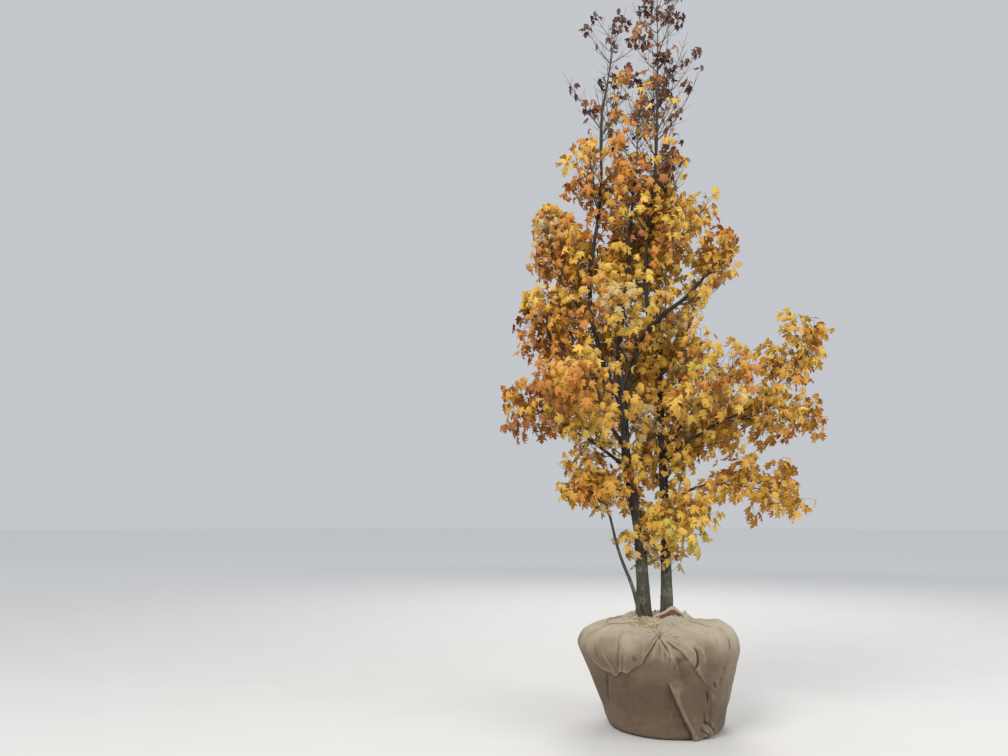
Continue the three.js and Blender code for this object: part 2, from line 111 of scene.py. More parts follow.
# Heights and lengths that the finer growth keeps to
TOP_LEVEL = 4.7
FIRST_SHOOT = 1.02
THIN_STEM_SHOOT = 1.44
FULL_SHOOTS = 1.55
FRONT_EYE = Vector((-1.16, -6.05, 1.55))


# The growing rule


class Draws:
    """Numbers from 0 to 1 that follow from a seed alone."""

    MODULUS = 2**32

    def __init__(self, seed: int) -> None:
        """Starts the row of numbers, and leaves out the first."""
        self.state = (seed * 7919 + 101) % self.MODULUS
        self.next()

    def next(self) -> float:
        """The next number."""
        self.state = (self.state * 1664525 + 1013904223) % self.MODULUS
        return self.state / self.MODULUS

    def between(self, low: float, high: float) -> float:
        """The next number, moved into a range."""
        return low + (high - low) * self.next()

    def around(self, spread: float) -> float:
        """The next number, moved to lie at most half a spread from 0."""
        return spread * (self.next() - 0.5)


def along(values: Floats, share: float) -> float:
    """The value at a share of the way along a list of evenly spaced values.

    Args:
        values: The values, from first to last.
        share: How far along, from 0 to 1.

    Returns:
        The value there, on a straight line between its neighbours.
    """
    if len(values) == 1:
        return values[0]
    place = min(max(share, 0), 1) * (len(values) - 1)
    low = min(int(place), len(values) - 2)
    return values[low] + (values[low + 1] - values[low]) * (place - low)


def heading(azimuth: float, rise: float) -> Vector:
    """The unit vector of an azimuth, from +X towards +Y, and a rise above level."""
    a, r = math.radians(azimuth), math.radians(rise)
    return Vector((math.cos(r) * math.cos(a), math.cos(r) * math.sin(a), math.sin(r)))


def route(start: Vector, azimuth: Floats, rise: Floats, length: float, steps: int) -> list[Vector]:
    """The points of a limb that starts somewhere and keeps to its headings.

    Args:
        start: Where it starts.
        azimuth: Its azimuths from foot to tip, evenly spaced.
        rise: Its rises from foot to tip, evenly spaced.
        length: Its whole length.
        steps: How many straight stretches it has.

    Returns:
        The ends of the stretches, with the start.
    """
    points = [start.copy()]
    for i in range(steps):
        share = (i + 0.5) / steps
        points.append(points[i] + heading(along(azimuth, share), along(rise, share)) * (length / steps))
    return points


def place_on(points: Sequence[Vector], share: float) -> tuple[Vector, Vector]:
    """The point and the direction at a share of a route's length.

    Args:
        points: The route's points.
        share: How far along, from 0 to 1.

    Returns:
        The point, and the unit vector of the stretch that it is on.
    """
    place = min(max(share, 0), 1) * (len(points) - 1)
    low = min(int(place), len(points) - 2)
    stretch = points[low + 1] - points[low]
    return points[low] + stretch * (place - low), stretch.normalized()


def square_to(direction: Vector) -> tuple[Vector, Vector]:
    """Two directions square to a third and to each other.

    Args:
        direction: The third, a unit vector.

    Returns:
        Two unit vectors.
    """
    helper = Vector((0, 0, 1)) if abs(direction.z) < 0.9 else Vector((1, 0, 0))
    first = helper.cross(direction).normalized()
    return first, direction.cross(first)


@dataclass
class Limb:
    """A stem, leader or bough, which grows from a foot on the ball or from another limb.

    Radius, azimuth and rise run from its foot to its tip, and a rise over 90 leans back. It grows on a limb
    at a share of that limb's length. The flare is how much wider a stem's foot is than the stem.
    """

    name: str
    length: float
    radius: Pair
    azimuth: tuple[float, ...]
    rise: tuple[float, ...]
    on: str = ""
    at: float = 0.0
    foot: Pair = (0.0, 0.0)
    flare: float = 0.0
    points: list[Vector] = field(default_factory=list)

    def find_route(self, limbs: dict[str, "Limb"]) -> None:
        """Works out the route.

        Args:
            limbs: The limbs whose routes are known, by name.
        """
        start = place_on(limbs[self.on].points, self.at)[0] if self.on else None
        start = start or Vector((*self.foot, BALL_HEIGHT + CLEARANCE))
        steps = max(2, math.floor(self.length / LIMB_STEP + 0.5) + 1)
        self.points = route(start, self.azimuth, self.rise, self.length, steps)

    def seed(self) -> int:
        """A number that follows from the name."""
        return sum(map(ord, self.name))

    def radius_at(self, share: Array | float) -> Array | float:
        """The radius at a share of the length, with the flare at a stem's foot."""
        widened = 1 + self.flare * np.exp(-np.asarray(share) * self.length / FLARE_LENGTH)
        return (self.radius[0] + (self.radius[1] - self.radius[0]) * np.asarray(share) ** TAPER) * widened


def make_limbs() -> dict[str, Limb]:
    """Makes the stems, the leaders and the boughs.

    Returns:
        The limbs with their routes, by name, each after the limb that it grows from.
    """
    table = [
        Limb("stem_left", 3.7, (0.051, 0.009), (180, 184, 176), (89, 90, 82, 82, 90, 84, 97, 99, 95, 96, 97),
             foot=(-0.083, 0.01), flare=0.3),
        Limb("stem_right", 4.1, (0.044, 0.009), (60, 80, 75, 60, 70), (84, 86, 83, 80, 84, 86, 88),
             foot=(0.092, 0.005), flare=0.25),
        Limb("stem_small", 0.79, (0.016, 0.009), (186, 182), (84, 72, 69, 74, 84), foot=(-0.124, -0.084),
             flare=0.15),
        Limb("bough_right_high", 1.28, (0.027, 0.012), (2, -4), (68, 73, 70, 60, 50, 37, 45, 49), "stem_left",
             0.455),
        Limb("leader_left", 2.9, (0.022, 0.008), (184, 176, 182),
             (58, 74, 74, 86, 97, 98, 100, 90, 90, 97, 104), "stem_left", 0.44),
        Limb("leader_main", 2.4, (0.019, 0.008), (0, -5), (97, 91, 84, 82, 83, 87, 87, 88),
             "bough_right_high", 0.5),
        Limb("bough_right", 0.72, (0.019, 0.01), (-8, -16), (52, 34, 26, 24), "stem_right", 0.29),
        Limb("bough_right_low", 0.4, (0.015, 0.009), (-22, -14), (42, 12), "stem_right", 0.205),
        Limb("bough_left_low", 0.43, (0.016, 0.009), (190, 184), (40, 34), "stem_left", 0.305),
        Limb("bough_left_mid", 0.33, (0.013, 0.009), (168, 174), (34, 44), "leader_left", 0.06),
        Limb("bough_left_high", 0.33, (0.012, 0.008), (188, 184), (44, 54), "leader_left", 0.26),
        Limb("bough_front_left", 0.34, (0.014, 0.009), (246, 240), (34, 36), "stem_left", 0.33),
        Limb("bough_front_right", 0.42, (0.015, 0.009), (292, 298), (38, 38), "stem_right", 0.31),
        Limb("bough_back_left", 0.42, (0.014, 0.009), (122, 128), (40, 44), "stem_left", 0.36),
        Limb("bough_back_right", 0.42, (0.015, 0.009), (42, 38), (40, 38), "stem_right", 0.255),
        Limb("bough_back", 0.36, (0.013, 0.009), (108, 104), (40, 48), "stem_right", 0.38),
    ]
    limbs: dict[str, Limb] = {}
    for limb in table:
        limb.find_route(limbs)
        limbs[limb.name] = limb
    return limbs


@dataclass
class SideTwig:
    """A twig on a mass's stem: how far up it grows, its way, its length and its spray's seed."""

    share: float
    way: Vector
    length: float
    seed: int


@dataclass
class Mass:
    """A mass of foliage, which keeps to a space of its own round its stem.

    Its name is its node's, less the first word, and it grows on a limb at a share of that limb's length.
    Azimuth, rise and length are its stem's. The space reaches along an axis and has a girth across it, and it
    ends at planes, each a unit vector and how far along it the plane lies.
    """

    name: str
    on: str
    at: float
    azimuth: float
    rise: Pair
    length: float
    girth: float
    index: int = 0
    points: list[Vector] = field(default_factory=list)
    axis: Vector = field(default_factory=Vector)
    centre: Vector = field(default_factory=Vector)
    reach: float = 0.0
    planes: list[tuple[Vector, float]] = field(default_factory=list)

    def settle(self, index: int, limb: Limb) -> None:
        """Gives the mass its route and its space, an ellipsoid round that route.

        Args:
            index: Its number.
            limb: The limb that it grows on.
        """
        self.index = index
        start = place_on(limb.points, self.at)[0]
        self.points = route(start, (self.azimuth,), self.rise, self.length, MASS_STEPS)
        self.axis = (self.points[-1] - self.points[0]).normalized()
        self.centre = self.points[0].lerp(self.points[-1], MASS_MIDDLE)
        self.reach = self.length * MASS_REACH

    def extent(self, direction: Vector) -> float:
        """Half the width of the ellipsoid in a direction."""
        cosine = self.axis.dot(direction)
        return math.sqrt((self.reach * cosine) ** 2 + self.girth**2 * (1 - cosine**2))

    def part_from(self, other: "Mass") -> None:
        """Ends the space at a plane between this mass and another, if they come near each other.

        Args:
            other: The other mass.
        """
        normal = other.centre - self.centre
        distance = normal.length
        normal.normalize()
        mine, theirs = self.extent(normal), other.extent(normal)
        if distance <= mine + theirs:
            point = self.centre + normal * (distance * mine / (mine + theirs))
            self.planes.append((normal, normal.dot(point) - SIDE_MARGIN))

    def squashed(self, vector: Vector) -> Vector:
        """A vector in the measure that makes the ellipsoid a ball of radius 1."""
        lengthwise = self.axis * vector.dot(self.axis)
        return lengthwise / self.reach + (vector - lengthwise) / self.girth

    def room_along(self, point: Vector, direction: Vector) -> float:
        """How far a point can move before it leaves the space.

        Args:
            point: Where it starts.
            direction: The unit vector of its way.

        Returns:
            The distance, or 0 if the point is outside.
        """
        start, way = self.squashed(point - self.centre), self.squashed(direction)
        a, b, c = way.dot(way), start.dot(way), start.dot(start) - 1
        if c > 0:
            return 0.0
        room = (-b + math.sqrt(b * b - a * c)) / a
        for normal, offset in self.planes:
            left = offset - normal.dot(point)
            if left < 0:
                return 0.0
            speed = normal.dot(direction)
            if speed > 0:
                room = min(room, left / speed)
        return room

    def side_twigs(self) -> Iterator[SideTwig]:
        """The side twigs, in crossed pairs that reach out to the edge of the space.

        Yields:
            Each twig, from the foot of the stem up.
        """
        draw = Draws(self.index + 1)
        pairs = max(2, math.floor(self.length / PAIR_SPACING + 0.5))
        for pair in range(pairs):
            share = FIRST_PAIR + PAIRED_SHARE * pair / pairs
            point, direction = place_on(self.points, share)
            u, v = square_to(direction)
            turn = math.radians(pair * 90 + TURN_CHANGE * draw.next())
            for side in (0, 1):
                spread = math.radians(SPREAD + draw.around(SPREAD_CHANGE))
                outward = u * math.cos(turn + side * math.pi) + v * math.sin(turn + side * math.pi)
                way = direction * math.cos(spread) + outward * math.sin(spread)
                length = self.room_along(point, way) * (TWIG_SHARE + TWIG_CHANGE * draw.next())
                yield SideTwig(share, way, length, self.index * 100 + pair * 2 + side)


def make_masses(limbs: dict[str, Limb]) -> list[Mass]:
    """Makes the masses of foliage.

    Args:
        limbs: The limbs with their routes, by name.

    Returns:
        The masses in the source's order, each with its space parted from its neighbours'.
    """
    masses = [
        Mass("right_high", "bough_right", 1, -6, (30, 62), 0.98, 0.27),
        Mass("right_mid", "bough_right", 0.8, -2, (8, -2), 0.82, 0.3),
        Mass("right_low", "bough_right_low", 1, -6, (0, -24), 0.7, 0.28),
        Mass("left_low", "bough_left_low", 1, 181, (28, 30), 0.7, 0.33),
        Mass("left_foot", "stem_left", 0.27, 184, (12, -8), 0.58, 0.21),
        Mass("left_mid", "bough_left_mid", 1, 176, (40, 52), 0.66, 0.35),
        Mass("left_high", "bough_left_high", 1, 172, (64, 80), 0.7, 0.31),
        Mass("right_crown", "bough_right_high", 1, 0, (34, 62), 0.5, 0.3),
        Mass("right_inner", "bough_right_high", 0.74, -24, (8, 0), 0.44, 0.29),
        Mass("front_left", "bough_front_left", 1, 236, (34, 46), 0.7, 0.4),
        Mass("front_right", "bough_front_right", 1, 300, (30, 36), 0.7, 0.4),
        Mass("front_low", "stem_right", 0.15, 290, (30, 0), 0.52, 0.3),
        Mass("back_left", "bough_back_left", 1, 130, (38, 46), 0.72, 0.4),
        Mass("back_right", "bough_back_right", 1, 36, (30, 34), 0.72, 0.4),
        Mass("back", "bough_back", 1, 98, (44, 54), 0.72, 0.4),
        Mass("small", "stem_small", 1, 186, (60, 40), 0.33, 0.19),
    ]
    climbing = [
        ("stem_left", (0.55, 0.8), 2, 252, (34, 56), (0.72, 0.56), 0.39, 0.62),
        ("stem_right", (0.47, 0.84), 3, 40, (30, 60), (0.72, 0.52), 0.4, 0.64),
        ("leader_left", (0.36, 0.82), 3, 110, (40, 64), (0.66, 0.48), 0.34, 0.6),
        ("leader_main", (0.24, 0.84), 4, 350, (36, 58), (0.68, 0.52), 0.37, 0.72),
    ]
    for on, places, count, azimuth, rise, length, girth, tip in climbing:
        for i in range(count):
            share = i / (count - 1)
            rises = (along(rise, share), along(rise, share) + TURN_UP)
            masses.append(Mass(f"{on}_{i + 1}", on, along(places, share), azimuth + i * GOLDEN_TURN, rises,
                               along(length, share), girth * (1 - THINNER_UP * share)))
        way = place_on(limbs[on].points, 1)[1]
        lean, up = math.degrees(math.atan2(way.y, way.x)), math.degrees(math.asin(way.z))
        masses.append(Mass(f"{on}_top", on, 1, lean, (up, TOP_RISE), tip, girth * TOP_GIRTH))
    for index, mass in enumerate(masses):
        mass.settle(index, limbs[mass.on])
    for mass in masses:
        for other in masses:
            if other is not mass:
                mass.part_from(other)
    return masses


# Arrays that become meshes


def put_in_scene(name: str, data: bpy.types.ID) -> bpy.types.Object:
    """Puts an object in the scene.

    Args:
        name: Its name.
        data: Its mesh, lamp or camera.

    Returns:
        The object.
    """
    made = bpy.data.objects.new(name, data)
    bpy.context.scene.collection.objects.link(made)
    return made


def smooth_path(points: Sequence[Vector], count: int) -> Array:
    """A rounded curve through a route's points.

    Args:
        points: The route's points.
        count: How many points the curve gets, evenly spaced.

    Returns:
        The curve's points, one to a row.
    """
    given = np.array([tuple(p) for p in points])
    padded = np.vstack([2 * given[0] - given[1], given, 2 * given[-1] - given[-2]])
    place = np.linspace(0, len(given) - 1, count)
    low = np.minimum(place.astype(int), len(given) - 2)
    t = (place - low)[:, None]
    a, b, c, d = (padded[low + i] for i in range(4))
    return 0.5 * (2 * b + (c - a) * t + (2 * a - 5 * b + 4 * c - d) * t**2 + (3 * b - a - 3 * c + d) * t**3)


def eased(low: float, high: float, values: Array) -> Array:
    """A smooth step from 0 at low to 1 at high."""
    t = np.clip((values - low) / (high - low), 0, 1)
    return t * t * (3 - 2 * t)


def lattice_noise(places: Array, cell: float | Floats, seed: int) -> Array:
    """Smooth noise from -1 to 1.

    Args:
        places: Points, with their coordinates on the last axis.
        cell: The size of a bump, or one size for each coordinate.
        seed: Which noise.

    Returns:
        The noise at each point.
    """
    scaled = places / np.asarray(cell) + LATTICE_SHIFT
    whole = np.floor(scaled)
    t = scaled - whole
    t = t * t * (3 - 2 * t)
    whole = whole.astype(np.int64)[..., None]
    total = np.zeros(places.shape[:-1])
    for corner in np.ndindex(2, 2, 2):
        i, j, k = (whole[..., n, :] + corner[n] for n in range(3))
        mixed = (i * 73856093) ^ (j * 19349663) ^ (k * 83492791) ^ (seed * 2654435761)
        mixed = (mixed ^ (mixed >> 13)) * 1274126177 & 0xFFFFFFFF
        value = ((mixed ^ (mixed >> 16)) % 65536 / 32767.5 - 1)[..., 0]
        weight = np.prod([t[..., n] if corner[n] else 1 - t[..., n] for n in range(3)], axis=0)
        total += weight * value
    return total


def ring_faces(rings: int, sides: int, closed: bool = True) -> Array:
    """The quads between rings of points that lie one after another.

    Args:
        rings: How many rings there are.
        sides: How many points a ring has.
        closed: Whether the last point of a ring joins the first.

    Returns:
        The four corners of each quad, one quad to a row.
    """
    i, k = np.meshgrid(np.arange(rings - 1), np.arange(sides if closed else sides - 1), indexing="ij")
    after = (k + 1) % sides
    quads = [i * sides + k, i * sides + after, (i + 1) * sides + after, (i + 1) * sides + k]
    return np.stack(quads, -1).reshape(-1, 4)


def ring_turns(sides: int) -> Array:
    """The turns of a ring's points about its middle, in radians."""
    return np.arange(sides) * (math.tau / sides)


def rolled_out(radius: Array, far: Array, sides: int) -> Array:
    """Where the points of a tube's rings would lie if it were straight, across and along it."""
    turns, radius = ring_turns(sides), radius[..., None]
    return np.stack(np.broadcast_arrays(np.cos(turns) * radius, np.sin(turns) * radius, far[..., None]), -1)


def tubes(paths: Array, radii: Array, sides: int) -> tuple[Array, list[Array]]:
    """Tubes round many paths at once, closed at both ends.

    Args:
        paths: The paths, as tube, point and coordinate.
        radii: The radius at each point of each path, with one more axis if it differs round a ring.
        sides: How many points a ring has.

    Returns:
        The vertices, and the faces as quads and end caps.
    """
    many, count, _ = paths.shape
    ways = np.gradient(paths, axis=1)
    ways /= np.maximum(np.linalg.norm(ways, axis=2, keepdims=True), TINY)
    helper = np.where(np.abs(ways[:, :1, 2:]) < 0.9, np.array([0.0, 0, 1]), np.array([1.0, 0, 0]))[:, 0]
    u = np.cross(helper, ways[:, 0])
    turns = ring_turns(sides)
    rings = np.empty((many, count, sides, 3))
    radii = radii[..., None] if radii.ndim == 2 else radii
    for i in range(count):
        u = u - ways[:, i] * np.sum(u * ways[:, i], axis=1, keepdims=True)
        u /= np.maximum(np.linalg.norm(u, axis=1, keepdims=True), TINY)
        v = np.cross(ways[:, i], u)
        spoke = u[:, None] * np.cos(turns)[:, None] + v[:, None] * np.sin(turns)[:, None]
        rings[:, i] = paths[:, i, None] + spoke * radii[:, i, :, None]
    size = count * sides
    shift = (np.arange(many) * size)[:, None, None]
    quads = (ring_faces(count, sides)[None] + shift).reshape(-1, 4)
    ends = np.stack([np.arange(sides)[::-1], size - sides + np.arange(sides)])
    return rings.reshape(-1, 3), [quads, (ends[None] + shift).reshape(-1, sides)]


def thick_sheet(grid: Array, thickness: float) -> tuple[Array, list[Array]]:
    """A thin closed sheet whose outer side is a grid of points.

    Args:
        grid: The points, as row, column and coordinate.
        thickness: How thick the sheet is.

    Returns:
        The vertices, outer side first, and the faces as quads.
    """
    rows, columns, _ = grid.shape
    down, across = np.gradient(grid, axis=0), np.gradient(grid, axis=1)
    normal = np.cross(across, down)
    normal /= np.maximum(np.linalg.norm(normal, axis=2, keepdims=True), TINY)
    inner = grid - normal * thickness
    faces = ring_faces(rows, columns, closed=False)
    size = rows * columns
    index = np.arange(size).reshape(rows, columns)
    rim = np.concatenate([index[0], index[1:, -1], index[-1, -2::-1], index[-2:0:-1, 0]])
    after = np.roll(rim, -1)
    edge = np.stack([after, rim, rim + size, after + size], -1)
    return np.concatenate([grid.reshape(-1, 3), inner.reshape(-1, 3)]), [faces, faces[:, ::-1] + size, edge]


class Draft:
    """Vertices and faces gathered from arrays, to be joined into one mesh."""

    def __init__(self) -> None:
        """Starts with nothing."""
        self.vertices: list[Array] = []
        self.notes: list[Array] = []
        self.faces: list[Array] = []
        self.count = 0

    def add(self, vertices: Array, faces: Sequence[Array], note: Array) -> "Draft":
        """Adds a shape.

        Args:
            vertices: Its points.
            faces: Its faces, each array with a face to a row.
            note: Three numbers for each point, which its finish reads.

        Returns:
            The draft itself.
        """
        self.faces += [rows + self.count for rows in faces]
        self.vertices.append(vertices)
        self.notes.append(note)
        self.count += len(vertices)
        return self

    def build(self, name: str, material: Material, slot: str, replaced: Sequence[str] = ()) -> None:
        """Joins all shapes into one piece of the scene.

        Args:
            name: The piece's name.
            material: Its finish.
            slot: The record's material slot; not used.
            replaced: The nodes that it stands for.
        """
        mesh = bpy.data.meshes.new(name)
        faces = [face for rows in self.faces for face in rows.tolist()]
        mesh.from_pydata(np.concatenate(self.vertices).tolist(), [], faces)
        note = mesh.attributes.new("note", "FLOAT_VECTOR", "POINT")
        note.data.foreach_set("vector", np.concatenate(self.notes).ravel())
        mesh.shade_smooth()
        mesh.materials.append(material)
        piece = put_in_scene(name, mesh)
        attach(piece, BODY)
        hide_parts(*replaced)
        triangles = sum(len(rows) * (rows.shape[1] - 2) for rows in self.faces)
        log.info("%s: %d triangles, stands for %d nodes", name, triangles, len(replaced))


# Finishes


class Paint:
    """A material in the making, with short ways to add nodes and join them."""

    def __init__(self, name: str, colour: Colour, roughness: float) -> None:
        """Starts from a plain surface.

        Args:
            name: The material's name.
            colour: Its colour, or the mean of its colours.
            roughness: Its roughness.
        """
        self.material = bpy.data.materials.new(name)
        self.material.use_nodes = True
        self.tree = self.material.node_tree
        self.shader = self.tree.nodes["Principled BSDF"]
        self.shader.inputs["Base Color"].default_value = (*colour, 1)
        self.shader.inputs["Roughness"].default_value = roughness
        self.note = self.node("ShaderNodeAttribute", {}, attribute_name="note").outputs["Vector"]
        self.x, self.y, self.z = self.parts(self.note)

    def node(self, kind: str, inputs: dict[int | str, object], **settings: object) -> bpy.types.Node:
        """Adds a node.

        Args:
            kind: The node's type.
            inputs: What goes into its sockets, each a number, a colour or another node's socket.
            settings: The node's own settings.

        Returns:
            The node.
        """
        made = self.tree.nodes.new(kind)
        for key, value in settings.items():
            setattr(made, key, value)
        for key, value in inputs.items():
            if isinstance(value, Socket):
                self.tree.links.new(value, made.inputs[key])
            else:
                made.inputs[key].default_value = value
        return made

    def set(self, socket: str, number: float) -> None:
        """Sets one of the shader's numbers, the same all over."""
        self.shader.inputs[socket].default_value = number

    def place(self) -> Socket:
        """The place on the object, in metres."""
        return self.node("ShaderNodeTexCoord", {}).outputs["Object"]

    def parts(self, vector: Socket) -> Sequence[Socket]:
        """The three parts of a vector."""
        return self.node("ShaderNodeSeparateXYZ", {0: vector}).outputs

    def maths(self, operation: str, *values: Socket | float) -> Socket:
        """The result of a sum."""
        return self.node("ShaderNodeMath", dict(enumerate(values)), operation=operation).outputs[0]

    def times(self, a: Socket | float, b: Socket | float) -> Socket:
        """The product of two numbers."""
        return self.maths("MULTIPLY", a, b)

    def plus(self, a: Socket | float, b: Socket | float) -> Socket:
        """The sum of two numbers."""
        return self.maths("ADD", a, b)

    def size(self, value: Socket) -> Socket:
        """A number without its sign."""
        return self.maths("ABSOLUTE", value)

    def vector_maths(self, operation: str, output: int, *values: Socket | Floats) -> Socket:
        """The result of a sum with vectors."""
        return self.node("ShaderNodeVectorMath", dict(enumerate(values)), operation=operation).outputs[output]

    def step(self, value: Socket, low: float, high: float, out: Pair = (0, 1)) -> Socket:
        """A smooth step from out's first value at low to its second at high."""
        inputs = {0: value, 1: low, 2: high, 3: out[0], 4: out[1]}
        return self.node("ShaderNodeMapRange", inputs, interpolation_type="SMOOTHSTEP").outputs[0]

    def stretched(self, scale: Floats) -> Socket:
        """The note's vector, scaled along each of its three parts."""
        return self.vector_maths("MULTIPLY", 0, self.note, scale)

    def noise(self, vector: Socket, scale: float, detail: float = 2.0) -> Socket:
        """Soft noise from 0 to 1."""
        inputs = {"Vector": vector, "Scale": scale, "Detail": detail}
        return self.node("ShaderNodeTexNoise", inputs).outputs[0]

    def grain(self, grain: "Grain") -> Socket:
        """Noise that runs with the note."""
        return self.noise(self.stretched(grain.stretch), grain.scale, grain.detail)

    def mix(self, share: Socket | float, a: Socket | Colour, b: Socket | Colour) -> Socket:
        """A mix of two colours."""
        a, b = ((*c, 1) if isinstance(c, tuple) else c for c in (a, b))
        return self.node("ShaderNodeMix", {0: share, 6: a, 7: b}, data_type="RGBA").outputs[2]

    def wash(self, colour: Socket | Colour, value: Socket, low: float, high: float, most: float,
             other: Colour) -> Socket:
        """Lays another colour over the first, from none of it at low to the most at high."""
        return self.mix(self.step(value, low, high, (0.0, most)), colour, other)

    def finish(
        self, colour: Socket, height: Socket, distance: float, roughness: Socket | None = None
    ) -> Material:
        """Joins what was made to the surface.

        Args:
            colour: Its colour.
            height: Its relief, from 0 to 1.
            distance: How high 1 is.
            roughness: Its roughness, if that varies.

        Returns:
            The material.
        """
        links = self.tree.links
        links.new(colour, self.shader.inputs["Base Color"])
        bump = self.node("ShaderNodeBump", {"Height": height, "Distance": distance, "Strength": 1.0})
        links.new(bump.outputs[0], self.shader.inputs["Normal"])
        if roughness:
            links.new(roughness, self.shader.inputs["Roughness"])
        return self.material


@dataclass(frozen=True)
class Grain:
    """A noise that runs with the note: its scale along each part and over all, and its detail."""

    stretch: Colour
    scale: float
    detail: float


@dataclass(frozen=True)
class LeafFinish:
    """The finish of leaves of one tint. Its note holds the place across and along a leaf, and its number.

    Some leaves lean towards the second colour, and the edge is the colour of withered rims and spots. A rib
    is its direction across and along, on the leaf's right. The widths are where a rib is full and where it
    ends.
    """

    colour: Colour
    second: Colour
    vein: Colour
    edge: Colour
    withered: float = 0.5
    ribs: tuple[Pair, ...] = ((0.0, 1.0), (0.755, 0.655), (0.997, 0.068))
    rib_width: Pair = (0.008, 0.03)
    small_ribs: float = 38.0
    slant: float = 0.8
    spots: Grain = Grain((1, 1, 57), 5.0, 3.0)
    leaning: Grain = Grain((0, 0, 91), 3.0, 0.0)

    def veins(self, paint: Paint) -> tuple[Socket, Socket]:
        """The pattern of the ribs.

        Args:
            paint: The material in the making.

        Returns:
            How much of the main ribs shows at each place, and how much of the small ones.
        """
        wide = paint.size(paint.x)
        main: Socket | float = 0.0
        for across, ahead in self.ribs:
            off = paint.maths("SUBTRACT", paint.times(wide, ahead), paint.times(paint.y, across))
            on = paint.plus(paint.times(wide, across), paint.times(paint.y, ahead))
            line = paint.step(paint.size(off), *self.rib_width, (1, 0))
            main = paint.maths("MAXIMUM", main, paint.times(line, paint.step(on, 0.0, 0.06)))
        slant = paint.maths("SUBTRACT", paint.y, paint.times(wide, self.slant))
        wave = paint.maths("SINE", paint.times(slant, self.small_ribs))
        return main, paint.step(paint.size(wave), 0.0, 0.3, (1, 0))

    def material(self, name: str) -> Material:
        """Makes the material.

        Args:
            name: Its name.

        Returns:
            The material.
        """
        paint = Paint(name, self.colour, 0.5)
        paint.set("Specular IOR Level", 0.35)
        main, small = self.veins(paint)
        spots = paint.grain(self.spots)
        colour = paint.mix(paint.step(paint.grain(self.leaning), 0.35, 0.65), self.colour, self.second)
        reach = paint.vector_maths("LENGTH", 1, paint.stretched((1, 1, 0)))
        rim = paint.times(paint.step(reach, 0.35, 0.95), paint.step(spots, 0.4, 0.62))
        rim = paint.maths("MINIMUM", paint.plus(rim, paint.step(spots, 0.66, 0.74)), 1.0)
        colour = paint.mix(paint.times(rim, self.withered), colour, self.edge)
        colour = paint.mix(paint.times(main, 0.55), colour, self.vein)
        colour = paint.mix(paint.times(small, 0.12), colour, self.vein)
        height = paint.plus(paint.times(main, 0.8), paint.times(small, 0.2))
        return paint.finish(colour, height, 0.0009)


class Tint(Enum):
    """The autumn tints that the sprays are dealt, each with its finish."""

    YELLOW = LeafFinish((0.68, 0.43, 0.048), (0.63, 0.36, 0.038), (0.76, 0.58, 0.2), (0.4, 0.16, 0.03), 0.36)
    GOLD = LeafFinish((0.62, 0.335, 0.035), (0.56, 0.265, 0.026), (0.7, 0.49, 0.14), (0.32, 0.11, 0.02), 0.46)
    AMBER = LeafFinish((0.55, 0.215, 0.022), (0.48, 0.165, 0.018), (0.64, 0.36, 0.08), (0.24, 0.07, 0.014))
    # Pale tan leaves: partly the paler undersides that show, partly painted sheen highlight.
    TAN = LeafFinish((0.54, 0.39, 0.16), (0.48, 0.31, 0.11), (0.64, 0.5, 0.27), (0.28, 0.13, 0.04))
    RUST = LeafFinish((0.27, 0.09, 0.018), (0.36, 0.125, 0.02), (0.42, 0.2, 0.06), (0.1, 0.03, 0.012), 0.6)
    OLIVE = LeafFinish((0.52, 0.38, 0.046), (0.47, 0.35, 0.042), (0.64, 0.54, 0.17), (0.36, 0.18, 0.03), 0.4)
    UMBER = LeafFinish((0.056, 0.024, 0.013), (0.13, 0.048, 0.015), (0.11, 0.05, 0.02), (0.02, 0.011, 0.009),
                       0.6)
    MAROON = LeafFinish((0.055, 0.011, 0.013), (0.1, 0.018, 0.017), (0.12, 0.03, 0.03), (0.02, 0.009, 0.01))


@dataclass(frozen=True)
class BarkFinish:
    """The bark of limbs. Its note holds the way round and along a limb, in metres, as a straight cylinder.

    It turns from low to the darker high between two heights, partly the bark's own tone and partly painted
    shade of the crown over the upper limbs. Streaks are its grooves, plates its wider relief and specks small
    pale spots, and patches is the scale of the lichen.
    """

    low: Colour = (0.073, 0.066, 0.045)
    # Darker bark up in the crown, partly its own tone and partly painted shade.
    high: Colour = (0.03, 0.025, 0.02)
    groove: Colour = (0.012, 0.011, 0.009)
    lichen: Colour = (0.205, 0.205, 0.152)
    change: Pair = (1.0, 1.9)
    streaks: Grain = Grain((1, 1, 0.08), 170.0, 4.0)
    plates: Grain = Grain((1, 1, 0.25), 42.0, 3.0)
    specks: Grain = Grain((1, 1, 0.7), 330.0, 1.0)
    patches: float = 13.0

    def material(self, name: str) -> Material:
        """Makes the material.

        Args:
            name: Its name.

        Returns:
            The material.
        """
        paint = Paint(name, self.low, 0.85)
        place = paint.place()
        level = paint.parts(place)[2]
        streaks, plates, specks = (paint.grain(grain) for grain in (self.streaks, self.plates, self.specks))
        patches = paint.noise(place, self.patches, 3.0)
        # Darker higher up, partly the bark's tone and partly painted shade of the crown.
        colour = paint.mix(paint.step(level, *self.change), self.low, self.high)
        pale = paint.times(paint.step(patches, 0.48, 0.62), paint.step(level, 0.9, 3.2, (0.6, 0.1)))
        colour = paint.mix(pale, colour, self.lichen)
        colour = paint.wash(colour, streaks, 0.55, 0.34, 0.75, self.groove)
        colour = paint.wash(colour, specks, 0.66, 0.74, 0.35, self.lichen)
        height = paint.plus(paint.times(streaks, 0.6), paint.times(plates, 0.4))
        return paint.finish(colour, height, 0.004, paint.step(patches, 0.3, 0.7, (0.78, 0.95)))


